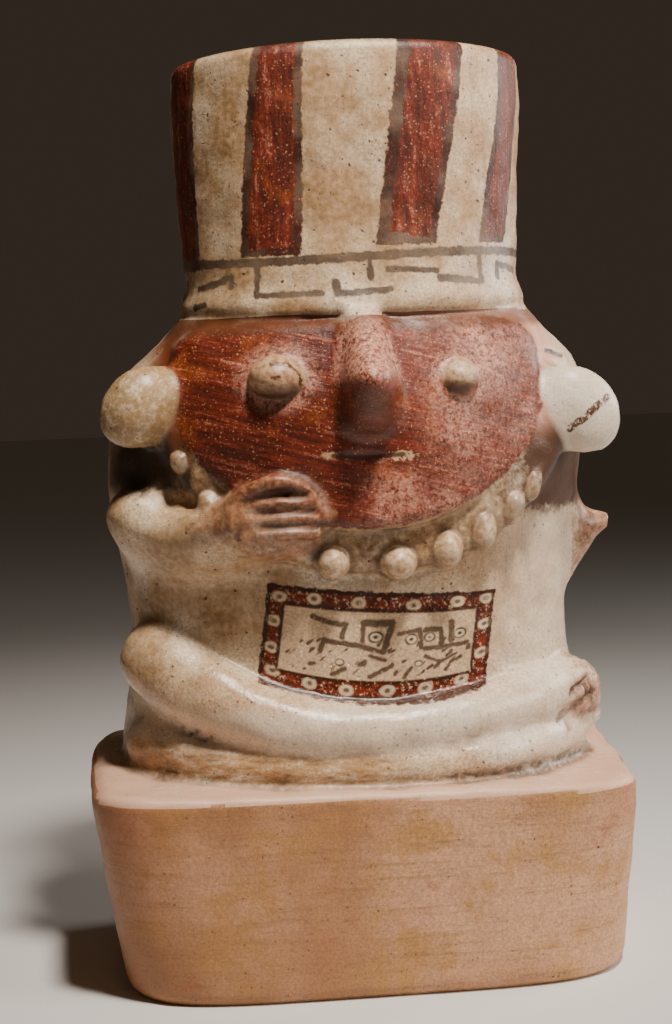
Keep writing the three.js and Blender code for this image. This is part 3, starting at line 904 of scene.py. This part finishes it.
# Dark lines seen from the front, as (x, height) pairs: the mouth's slit, and a small chip by the right ear
DARK_CUTS = [([(-8.6, 150.8), (0.6, 150), (10.6, 150.4)], 0.6), ([(56.8, 176.7), (62, 174.9)], 0.6)]
# Dark marks left on the eyes and the right ear, as (x, height) pairs
PELLET_MARKS = [
    ([(-24.6, 176.6), (-20, 176.2), (-16.6, 173), (-16.4, 170.4)], 0.5),
    ([(-24.4, 172.6), (-22.6, 173)], 0.5),
    ([(60.5, 154.6), (66, 158.8), (71.4, 163)], 1.0),
]

# The chest panel, in its own millimetres: across from its middle, and up from its lower edge
PANEL_HALF_WIDTH = 32.8
PANEL_HEIGHT = 28.0
PANEL_BORDER = 5.2
PANEL_X = 3.5
PANEL_MIDDLE = 100.0
PANEL_LEAN = -0.153
# Its lower and upper edge as arcs: middle x, rise with the square of the way from it, and height there
PANEL_ARCS = [(8.6, 0.00468, 80.2), (37.0, 5.4 / 64**2, 109.7)]
# Half width and half height of an oval in its border, then the ovals' middles
BORDER_OVAL = (2.1, 1.5)
BORDER_OVALS = [
    (-29.4, 24.8), (-19.6, 25.3), (-6.9, 25.0), (9.0, 24.8), (21.7, 25.4), (30.4, 25.6),
    (30.6, 18.0), (30.6, 9.6), (25.4, 3.4), (15.0, 2.9), (4.1, 2.8), (-7.7, 2.6), (-18.2, 3.0),
    (-29.0, 4.2), (-30.2, 10.6), (-30.3, 18.0),
]
PANEL_STROKES = [
    ([(-19.5, 20.8), (-14, 19.4), (-9.6, 19.4), (-10.6, 16)], 0.6),
    ([(-4.8, 20), (3.4, 20.2), (1.8, 13)], 0.85),
    ([(-4.8, 20), (-4.6, 15.6)], 0.6), ([(-16.2, 12.2), (-15.6, 14.8), (-6, 14.2), (1.8, 12.6)], 0.6),
    ([(5.6, 17.4), (11.6, 18.4), (12.6, 13.6)], 0.55), ([(13, 18.2), (17.6, 18.2), (18.4, 14.2)], 0.7),
    ([(13.6, 13.2), (25.8, 13.4)], 0.6), ([(20.6, 19.6), (21.2, 15)], 0.85),
    ([(14, 11.2), (18.6, 9.2), (23, 11)], 0.4), ([(-1.4, 6.2), (4.6, 9.2)], 0.6),
    ([(8.4, 6), (10.4, 8.6)], 0.45), ([(-12.2, 6.2), (-8.6, 8.2)], 0.5), ([(17, 8), (18.2, 8.8)], 0.5),
    ([(22, 9), (24.4, 9.8)], 0.45), ([(-4.6, 9.4), (-3.2, 10.2)], 0.55), ([(5.9, 7), (6.2, 7.4)], 0.5),
    ([(26.2, 11.8), (26.4, 12.4)], 0.6), ([(-19, 8.2), (-17.6, 8.4)], 0.4), ([(-2, 11.6), (2.6, 10.6)], 0.45),
]
PANEL_EYES = [(-0.9, 16.5, 2.3, 1.5), (9.4, 15.9, 1.9, 1.5), (14.6, 16.2, 1.7, 1.3), (23.4, 16.4, 2.0, 1.5),
              (-10.4, 9.6, 1.5, 1.0), (12.2, 9.4, 1.4, 0.9)]


@effect("distance", start=None, end=None, half_width=0.5)
def painted_stroke(place, start, end, half_width):
    """Distance to a stroke, less its half width: |p - a - t (b - a)|, with t kept in 0 to 1."""
    from_start = vector_maths("SUBTRACT", place, start)
    span = vector_maths("SUBTRACT", end, start)
    along = vector_maths("DOT_PRODUCT", from_start, span)
    t = along.maths("DIVIDE", vector_maths("DOT_PRODUCT", span, span), clamp=True)
    gap = vector_maths("SUBTRACT", from_start, vector_maths("SCALE", span, t))
    return vector_maths("LENGTH", gap) - half_width


@effect("distance", centre=None, half_width=2.0, half_height=1.4)
def painted_oval(place, centre, half_width, half_height):
    """About the distance to an upright oval: (|(p - c) / size| - 1) times half its height."""
    size = vector(half_width, half_height, 1.0)
    off = vector_maths("DIVIDE", vector_maths("SUBTRACT", place, centre), size)
    return (vector_maths("LENGTH", off) - 1.0) * half_height


@effect("mask", distance=0.0, wobble=0.5, wear=0.3, edge=0.25)
def worn_paint(place, distance, wobble, wear, edge):
    """Where paint is: inside a distance whose edge wobbles by millimetres, less flakes as it wears."""
    wave = noise(place, 0.45, 3.0, 0.6) - 0.5
    cover = linear(scaled(wave, wobble * 3.0, distance), edge * -1.0, edge, 1.0, 0.0)
    flakes = noise(place, 0.9, 5.0, 0.75)
    level = scaled(wear, -0.45, 0.80)
    return cover * linear(flakes, level, level + 0.06, 1.0, 0.0)


@effect("mask", scale=0.4, size=0.3, share=0.3)
def grit(place, scale, size, share):
    """Scattered specks: the middles of Voronoi cells, in the share of cells drawn by chance."""
    warp = add_node(place.tree, "ShaderNodeTexNoise", {"Vector": place, "Scale": 1.3, "Detail": 1.0})[1]
    bent = vector_maths("ADD", place, vector_maths("SCALE", warp, 0.9))
    distance, cell_colour = add_node(place.tree, "ShaderNodeTexVoronoi", {"Vector": bent, "Scale": scale})[:2]
    drawn, width, _ = add_node(place.tree, "ShaderNodeSeparateColor", (cell_colour,))
    size = size * scaled(width, 0.8, 0.35)
    return linear(distance, size * 0.7, size, 1.0, 0.0) * (drawn < share)


def strokes_distance(place, strokes, across=1.0):
    """The least distance to painted strokes, each a chain of points and a half width."""
    return least(*(
        painted_stroke(place, start=(a[0] * across, a[1], 0), end=(b[0] * across, b[1], 0), half_width=half)
        for chain, half in strokes for a, b in zip(chain[:-1], chain[1:])))


def ovals_distance(place, ovals):
    """The least distance to painted ovals, each its middle across and up, half width and half height."""
    return least(*(painted_oval(place, centre=(x, y, 0), half_width=wide, half_height=high)
                   for x, y, wide, high in ovals))


@effect("red", "dark", "band")
def headdress_paint(place):
    """Distances to the headdress's red stripes, to their dark lines, and to the band's line and frets."""
    x, y, z = parts(place)
    across, ahead = (x - HEADDRESS_X) / HEADDRESS_HALF_WIDTH, (BODY_Y - y) / HEADDRESS_HALF_DEPTH
    angle = across.maths("ARCTAN2", ahead) * (180 / math.pi)
    up = (z - STRIPES_FROM) / STRIPES_REACH
    stripes = []
    outlines = []
    for low_left, low_right, top_left, top_right, left_line, right_line, end in STRIPES:
        low_centre, low_half = (low_left + low_right) / 2, (low_right - low_left) / 2
        top_centre, top_half = (top_left + top_right) / 2, (top_right - top_left) / 2
        centre = scaled(up, top_centre - low_centre, low_centre)
        half = scaled(up, top_half - low_half, low_half)
        turn = (angle - centre).maths("WRAP", 180.0, -180.0)
        stripe = greatest((abs(turn) - half) * MM_PER_DEGREE, end - z)
        line = scaled(turn < 0.0, left_line - right_line, right_line)
        stripes.append(stripe)
        outlines.append(greatest(stripe, (stripe + line) * -1.0))
    front = strokes_distance(vector(angle * MM_PER_DEGREE, z, 0.0), BAND_STROKES, MM_PER_DEGREE)
    cell = (angle + 180.0).maths("WRAP", FRET_PITCH / 2, -FRET_PITCH / 2)
    fret = strokes_distance(vector(cell * MM_PER_DEGREE, z, 0.0), BACK_FRET, MM_PER_DEGREE)
    back = scaled(abs(angle) < FRONT_HALF_ANGLE, 20.0, fret)
    sway = (angle * 0.045).maths("SINE") * 0.6
    line = abs(z - (sway + BAND_LINE_HEIGHT)) - BAND_LINE_HALF_WIDTH
    return least(*stripes), least(*outlines), least(front, back, line)


@effect("outline", "field", "ovals", "figures", "eyes")
def chest_panel(place):
    """Distances to the panel's outline, its inner field, the border's ovals, its figures and their eyes."""
    x, y, z = parts(place)
    low, top = (scaled((x - middle) * (x - middle), curve, height) for middle, curve, height in PANEL_ARCS)
    v = (z - low) / (top - low) * PANEL_HEIGHT
    u = scaled(z - PANEL_MIDDLE, PANEL_LEAN, x) - PANEL_X
    half_height = PANEL_HEIGHT / 2
    outline = greatest(abs(u) - PANEL_HALF_WIDTH, abs(v - half_height) - half_height, y)
    flat = vector(u, v, 0.0)
    border = ovals_distance(flat, [(*middle, *BORDER_OVAL) for middle in BORDER_OVALS])
    figures = strokes_distance(flat, PANEL_STROKES)
    return outline, outline + PANEL_BORDER, border, figures, ovals_distance(flat, PANEL_EYES)


@effect("colour", "relief")
def bare_clay(place):
    """Bare fired clay: buff with pale, yellow and red clouds, level olive streaks. Relief in millimetres."""
    cloudy = clouds(place)
    streaks = noise(place, 0.22, 5.0, 0.7, stretch=(0.16, 0.16, 2.6))
    grain = grain_of(place)
    specks = grit(place, scale=0.7, size=0.26, share=0.4)
    colour = coated(
        CLAY,
        (ramp(broad_clouds(place), 0.38, 0.62), CLAY_PALE),
        (ramp(cloudy, 0.48, 0.66) * 0.85, CLAY_YELLOW),
        (ramp(streaks, 0.5, 0.72) * 0.6, OLIVE),
        (ramp(cloudy, 0.42, 0.25) * 0.4, CLAY_RED),
        (specks * ramp(streaks, 0.42, 0.6), BROWN))
    return mottled(colour, place, 0.36), scaled(streaks, 0.3, grain * 0.3)


@effect("colour", "relief", stain=0.0)
def cream_slip(place, stain):
    """Cream slip: warm and white clouds, upright brush marks, dark pits, and an olive staining whose amount
    the callers also use to paint shade. Relief in millimetres.
    """
    cloudy = clouds(place)
    marks = noise(place, 0.3, 4.0, 0.65, stretch=(1.8, 1.8, 0.12))
    grain = grain_of(place)
    pits = grit(place, scale=0.36, size=0.18, share=0.5)
    specks = grit(place, scale=0.8, size=0.3, share=0.6)
    grainy = ramp(grain, 0.4, 0.6)
    colour = coated(
        CREAM,
        (ramp(cloudy, 0.35, 0.65), CREAM_WARM),
        (ramp(broad_clouds(place), 0.5, 0.3) * 0.7, CREAM_WHITE),
        (ramp(marks, 0.5, 0.75) * 0.35, OLIVE),
        # Staining, and painted shade where the callers make it stronger to one side.
        (stain * ramp(cloudy, 0.3, 0.7), mix(grainy, CREAM_WARM, OLIVE)),
        (pits * 0.85, BROWN),
        (specks * grainy, GREY_BROWN))
    return mottled(colour, place, 0.42), scaled(pits, -0.28, scaled(marks, 0.22, grain * 0.28))


@effect("colour", "relief", brush=None, pink=0.0)
def iron_red(place, brush, pink):
    """Iron-red paint with brighter streaks along the brush and pale grit, worn pink by `pink`."""
    streaks = noise(brush, 0.3, 5.0, 0.7)
    cloudy = clouds(place)
    grain = grain_of(place)
    worn = ramp(cloudy, 0.36, 0.64)
    specks = grit(place, scale=1.25, size=0.36, share=scaled(worn, 0.4, 0.4))
    scratches = ramp(streaks, 0.56, 0.66) * ramp(grain, 0.42, 0.56)
    colour = coated(
        RED_DEEP,
        (ramp(streaks, 0.36, 0.64), RED),
        (ramp(cloudy, 0.52, 0.72) * 0.5, ORANGE),
        (pink * ramp(grain, 0.3, 0.6), PINK),
        (scratches * scaled(worn, 0.4, 0.2), PINK),
        (specks * 0.6, RED_GRIT))
    return mottled(colour, place, 0.5), scaled(streaks, 0.3, grain * 0.25)


def line_inside(distance, depth):
    """The distance to a line of this depth just inside an outline."""
    return greatest(distance, scaled(distance, -1.0, -depth))


class Finish:
    """A material being made, with its place on the vessel in millimetres."""

    def __init__(self, name):
        self.material = bpy.data.materials.new(name)
        self.material.use_nodes = True
        self.tree = self.material.node_tree
        metres = self.tree.nodes.new("ShaderNodeTexCoord").outputs["Object"]
        self.place = vector_maths("SCALE", Value(self.tree, metres), 1000.0)
        self.x, self.y, self.z = parts(self.place)

    def zones(self, name):
        """The three numbers of a vertex attribute."""
        made = self.tree.nodes.new("ShaderNodeAttribute")
        made.attribute_name = name
        return parts(Value(self.tree, made.outputs["Vector"]))

    def paint(self, distance, wobble, wear, edge=0.25):
        """Where worn paint covers a distance's inside."""
        return worn_paint(self.place, distance=distance, wobble=wobble, wear=wear, edge=edge)

    def clouds_and_grain(self):
        """The clouds and the fine grain that several finishes share."""
        return clouds(self.place), noise(self.place, 0.5, 5.0, 0.65)

    def weather(self, colour, soil_and_shade_from=0.22):
        """Dirt and painted shade in the hollows, and paler clay on rubbed ridges, over a colour. Also the
        mask of that darkening.
        """
        hollow, ridge, _ = self.zones("form_shade")
        fine = noise(self.place, 0.5, 4.0, 0.65)
        # Dirt and painted shade: the hollows are darkened towards dark brown by how deep they lie.
        soil_and_shade = ramp(hollow, soil_and_shade_from, 0.8) * ramp(fine, 0.15, 0.6)
        colour = mix(soil_and_shade * 0.8, colour, DARK_BROWN)
        rubbed = ramp(ridge, 0.35, 0.9) * ramp(fine, 0.42, 0.62)
        return mix(rubbed * 0.35, colour, CLAY_PALE), soil_and_shade

    def done(self, colour, rough, relief, strength=0.6):
        """Links the colour, roughness and relief in millimetres to the shader."""
        shader = self.tree.nodes["Principled BSDF"]
        inputs = {"Height": relief, "Strength": strength, "Distance": 0.001}
        bump = add_node(self.tree, "ShaderNodeBump", inputs)[0]
        for value, name in ((colour, "Base Color"), (rough, "Roughness"), (bump, "Normal")):
            self.tree.links.new(value.socket, shader.inputs[name])
        shader.inputs["Specular IOR Level"].default_value = 0.5
        return self.material


def block_finish():
    """The block's bare clay: paler on its top as painted light, redder at its left side and right edge,
    darker to the left as painted shade.
    """
    f = Finish("bare_fired_clay")
    above_block, _, _ = f.zones("ground_zones")
    colour, relief = bare_clay(f.place)
    left_side = ramp(f.x, -52, -74) * scaled(ramp(f.z, 30, 54), 0.3, 0.2)
    right_edge = ramp(f.x, 60, 76) * ramp(f.z, 38, 52) * 0.4
    colour = coated(
        colour,
        # Painted light: the block's top made paler, as where the light from above falls on it.
        (ramp(above_block, -2.5, -0.5) * 0.8, PAINTED_TOP_LIGHT),
        (greatest(left_side, right_edge), ORANGE),
        # Painted shade: the block's sides darker towards the left, below its top.
        (ramp(f.x, 75, -80) * (ramp(above_block, -1.0, -4.0) * 0.5), PAINTED_SHADE_CLAY))
    colour, _ = f.weather(colour, 0.5)
    return f.done(colour, scaled(relief, 0.35, 0.42), relief, 0.7)


def headdress_finish(name, with_band):
    """The headdress: cream slip, and red stripes with worn dark lines, or the band's dark line and frets."""
    f = Finish(name)
    stripes, outlines, band = headdress_paint(f.place)
    # Painted shade: the slip's olive staining grows towards the left, where the light falls less.
    colour, slip_relief = cream_slip(f.place, stain=scaled(ramp(f.x, 30, -45), 0.45, 0.5))
    red, red_relief = iron_red(f.place, brush=turned(f.place, 0, (1.6, 1.6, 0.25)))
    red_cover = f.paint(stripes, 0.6, 0.32)
    colour = mix(red_cover, colour, red)
    dark = f.paint(outlines, 0.9, 0.55)
    if with_band:
        dark = greatest(dark, f.paint(band - 0.35, 0.6, 0.35))
    dark_tone = mix(ramp(noise(f.place, 0.07, 3.0), 0.4, 0.6), DARK_BROWN, GREY_BROWN)
    colour, _ = f.weather(mix(dark * 0.88, colour, dark_tone))
    relief = mix_numbers(red_cover, slip_relief, red_relief + 0.08)
    return f.done(colour, scaled(relief, 0.45, 0.32), relief)


def panel_painted(f, colour, cloudy, fine):
    """The chest panel over a colour: a red border with ringed ovals, a cream field with hooked figures."""
    outline, field, ovals, figures, eyes = chest_panel(f.place)
    on_panel = f.paint(outline, 0.9, 0.55)
    border = on_panel * (field > -0.4)
    edge_lines = least(line_inside(outline, 1.1), line_inside(field - 0.9, 0.9))
    figures = greatest(figures - 0.1, field + 0.5)
    ticks = grit(turned(f.place, 38, (0.25, 0.0, 0.62)), scale=0.8, size=0.44, share=0.95)
    in_field = ramp(field, -0.8, -1.4) * ramp(f.z, 101, 98)
    lines = greatest(f.paint(least(edge_lines, figures), 0.4, 0.42), ticks * in_field)
    eyes = greatest(eyes, field + 0.5)
    rims = least(line_inside(eyes, 0.4), eyes + 1.0)
    return coated(
        colour,
        (on_panel, mix(ramp(fine, 0.4, 0.6), RED_DEEP, RED)),
        (f.paint(field, 0.3, 0.1) * 0.95, mottled(mix(cloudy, CREAM, CREAM_WARM), f.place, 0.4)),
        (f.paint(ovals, 0.35, 0.2) * border, CREAM),
        (f.paint(ovals + 0.85, 0.3, 0.2) * border, GREY_BROWN),
        (lines * 0.85, DARK_BROWN),
        (f.paint(eyes, 0.25, 0.15), CREAM),
        (f.paint(rims, 0.25, 0.35), DARK_BROWN))


def slipped_body(f, cloudy):
    """The figure's ground: cream slip on clay, stained and darker to the left as painted shade, whiter on the
    right and at the shins' height as painted light, its bare clay paler as painted light, brown paint and
    painted shade under the jaw and ears, worn at the feet.
    """
    above_block, collar, _ = f.zones("ground_zones")
    torso = ramp(f.z, 84, 96) * ramp(f.z, 160, 150)
    # Painted shade: the torso's olive staining grows towards the left, where the light falls less.
    slip, slip_relief = cream_slip(f.place, stain=torso * scaled(ramp(f.x, 10, -45), 0.5, 0.35))
    clay, clay_relief = bare_clay(f.place)
    slipped = f.paint(0.6 - above_block, 1.2, 0.1, 0.6)
    # Painted light: the slip whiter towards the right side, and a painted highlight at the shins' height.
    leg_highlight = ramp(f.z, 84, 78) * ramp(f.z, 64, 70)
    slip_with_painted_light = mix(greatest(ramp(f.x, 20, 58), leg_highlight) * 0.35, slip, CREAM_WHITE)

    under_jaw = greatest(collar - 0.5, f.z - 160.0)
    low_end = scaled(ramp(f.x, 0, 20), -10.0, 141.0)
    below_ears = greatest(46.0 - abs(f.x), greatest(f.z - 160.0, low_end - f.z))
    # Brown paint on the collar under the jaw, and painted shade darkening the neck under the ears.
    brown_paint_and_shade = f.paint(least(under_jaw, below_ears), 2.0, 0.15, 1.6) * (ramp(f.y, 16, -10) * 0.95)
    neck_brown_and_shade = mix(ramp(f.x, -30, 45), DARK_BROWN, NECK_BROWN)
    jaw_tone = mix(ramp(cloudy, 0.35, 0.65), OLIVE, BROWN)

    slope = scaled(abs(f.x), 0.07, 65.5)
    foot_wear = ramp(f.z - slope, 2.5, -1.0) * ramp(f.x, 24, -8) * ramp(above_block, 0.4, 1.6)
    streaks = noise(f.place, 0.3, 4.0, 0.7, stretch=(0.45, 0.45, 1.6))
    colour = coated(
        clay,
        # Painted light: all the bare clay here, mostly the block's top, paler, as where the light from above
        # falls.
        (0.75, PAINTED_TOP_LIGHT),
        (slipped, slip_with_painted_light),
        (brown_paint_and_shade, mix(ramp(abs(f.x), 30, 48), jaw_tone, neck_brown_and_shade)),
        (foot_wear * ramp(streaks, 0.32, 0.56) * 0.75, mix(ramp(streaks, 0.5, 0.7), CLAY_YELLOW, BROWN)))
    return colour, slip, slip_relief, clay_relief, slipped


def beads_painted(f, colour, fine):
    """The collar's beads: pale clay with painted shade round them."""
    beads, _, _ = f.zones("pellet_zones")
    bead_tone = mix(ramp(fine, 0.36, 0.62), BEAD_TAN, CREAM)
    # Painted shade: brown round each bead.
    return coated(colour, (ramp(beads, 3.0, 0.4) * 0.6, BROWN), (ramp(beads, 0.7, 0.1), bead_tone))


def worn_pink(f, cloudy, nose, eyes):
    """How far the face's red has worn pink: on the right cheek, the chin, the nose, and round the eyes."""
    chin = ramp(f.z, 150, 140) * ramp(f.x, -8, 6)
    cheek = ramp(f.x, 8, 36) * scaled(ramp(f.x, 40, 50), -0.45, 1.0)
    rubbed = scaled(ramp(cloudy, 0.40, 0.62), 0.55, 0.2) * greatest(cheek, chin * 0.8)
    bridge = ramp(nose, 3.0, 0.0) * ramp(f.z, 168, 175) * 0.8
    return greatest(rubbed, greatest(ramp(eyes, 6.0, 1.0) * 0.65, bridge))


def face_painted(f, colour, cloudy, fine):
    """The red face, lips, mouth and eyes over a colour, with painted shade under the band, under the nose, on
    the eyes' lower parts and at the lower left. Also the red's cover, its relief, and the front.
    """
    face, nose, eyes = f.zones("face_zones")
    _, _, above_band = f.zones("ground_zones")
    in_front = f.y < 4.0
    right = ramp(f.x, -10, 50)
    wash = ramp(face, 9.0, 1.0) * in_front * ramp(f.z, 150, 162) * ramp(cloudy, 0.2, 0.5)
    below_band = in_front * ramp(above_band, -0.5, -2.5)
    cover = f.paint(face + 0.6, 1.1, scaled(right, 0.22, 0.22), 0.5) * below_band
    brush = turned(f.place, -14, (0.14, 0.4, 2.6))
    red, relief = iron_red(f.place, brush=brush, pink=worn_pink(f, cloudy, nose, eyes))
    # Painted shade: the face's red darker towards the lower left.
    lower_left_shade = ramp(f.x, -12, -40) * ramp(f.z, 164, 146)
    # Painted shade: brown under the nose.
    under_nose_shade = ramp(nose, 3.0, 0.5) * ramp(f.z, 170.5, 167.5)
    red = coated(red, (lower_left_shade * 0.3, RED_DARKEST), (under_nose_shade * 0.3, BROWN))
    # Painted shade: brown along the face's top, under the band's overhang.
    under_band_shade = ramp(above_band, -6.0, -3.2) * ramp(nose, -1.0, 2.0)

    seen_flat = vector(f.x, f.z, 0.0)
    lips = f.paint(ovals_distance(seen_flat, LIP_CORNERS), 0.9, 0.6)
    cuts = f.paint(strokes_distance(seen_flat, DARK_CUTS), 0.3, 0.1)
    pale_eye = mix(ramp(fine, 0.34, 0.6), EYE_TAN, mix(right, CREAM_WARM, CREAM))
    colour = coated(
        colour,
        (wash, mix(right, WASH_BROWN, PINK)),
        (cover, red),
        (under_band_shade * in_front * 0.7, BROWN),
        (lips * in_front, CREAM_WARM),
        (cuts * in_front * 0.85, DARK_BROWN),
        # Painted shade: each eye pellet turns brown on its lower part.
        (ramp(eyes, 0.9, 0.3), mix(ramp(f.z, 171.5, 167.5), pale_eye, BROWN)))
    return colour, cover, relief, seen_flat, in_front


def figure_finish():
    """The figure: slip, red face, beads, ears and eyes with a few dark marks, limbs worn to the red clay."""
    f = Finish("slip_painted_figure")
    cloudy, fine = f.clouds_and_grain()
    colour, slip, slip_relief, clay_relief, slipped = slipped_body(f, cloudy)
    colour, red_cover, red_relief, seen_flat, in_front = face_painted(f, colour, cloudy, fine)
    colour = beads_painted(f, colour, fine)
    _, ears, limbs = f.zones("pellet_zones")
    _, _, eyes = f.zones("face_zones")
    left_ear = mix(ramp(fine, 0.32, 0.58) * 0.75, slip, EAR_OLIVE)
    marks = f.paint(strokes_distance(seen_flat, PELLET_MARKS), 0.6, 0.6)
    on_pellets = greatest(ramp(ears, 1.0, 0.4), ramp(eyes, 0.9, 0.3))
    colour = coated(
        colour,
        (ramp(ears, 2.0, 0.4) * (f.y < 0.0), mix(ramp(f.x, -5, 5), left_ear, mix(0.55, slip, CREAM_WHITE))),
        (marks * (on_pellets * in_front), BROWN),
        (f.paint(limbs - 0.8, 2.0, 0.1, 1.2) * 0.85, mix(ramp(fine, 0.36, 0.68), HAND_RED, HAND_PINK)))
    colour, soil_and_shade = f.weather(colour)
    relief = mix_numbers(red_cover, mix_numbers(slipped, clay_relief, slip_relief), red_relief + 0.08)
    rough = scaled(relief, 0.45, scaled(slipped, -0.18, 0.40))
    rough = scaled(ramp(f.z, 100, 86), -0.11, rough)
    return f.done(colour, scaled(soil_and_shade, 0.2, rough), relief)


def chest_finish():
    """The chest and what is near it: the figure's slip and beads, with the painted panel."""
    f = Finish("painted_chest_panel")
    cloudy, fine = f.clouds_and_grain()
    colour, _, relief, _, _ = slipped_body(f, cloudy)
    colour = beads_painted(f, panel_painted(f, colour, cloudy, fine), fine)
    colour, soil_and_shade = f.weather(colour)
    rough = scaled(relief, 0.45, scaled(soil_and_shade, 0.2, 0.22))
    return f.done(colour, scaled(ramp(f.z, 100, 86), -0.11, rough), relief)


def inside_finish():
    """The plain unslipped inside."""
    f = Finish("bare_clay_inside")
    colour, relief = bare_clay(f.place)
    colour = mix(ramp(noise(f.place, 0.06, 3.0), 0.35, 0.65), colour, CLAY_RED)
    return f.done(colour, scaled(relief, 0.3, 0.65), relief, 0.8)


HEADDRESS_FINISHES = [("fretted_headband_slip", True), ("striped_headdress_slip", False)]
vessel = make_vessel()
# In the order of the faces' finish numbers
band, headdress = (headdress_finish(name, with_band) for name, with_band in HEADDRESS_FINISHES)
for finish in (block_finish(), figure_finish(), chest_finish(), band, headdress, inside_finish()):
    vessel.data.materials.append(finish)
make_floor()
make_lights()
make_camera()
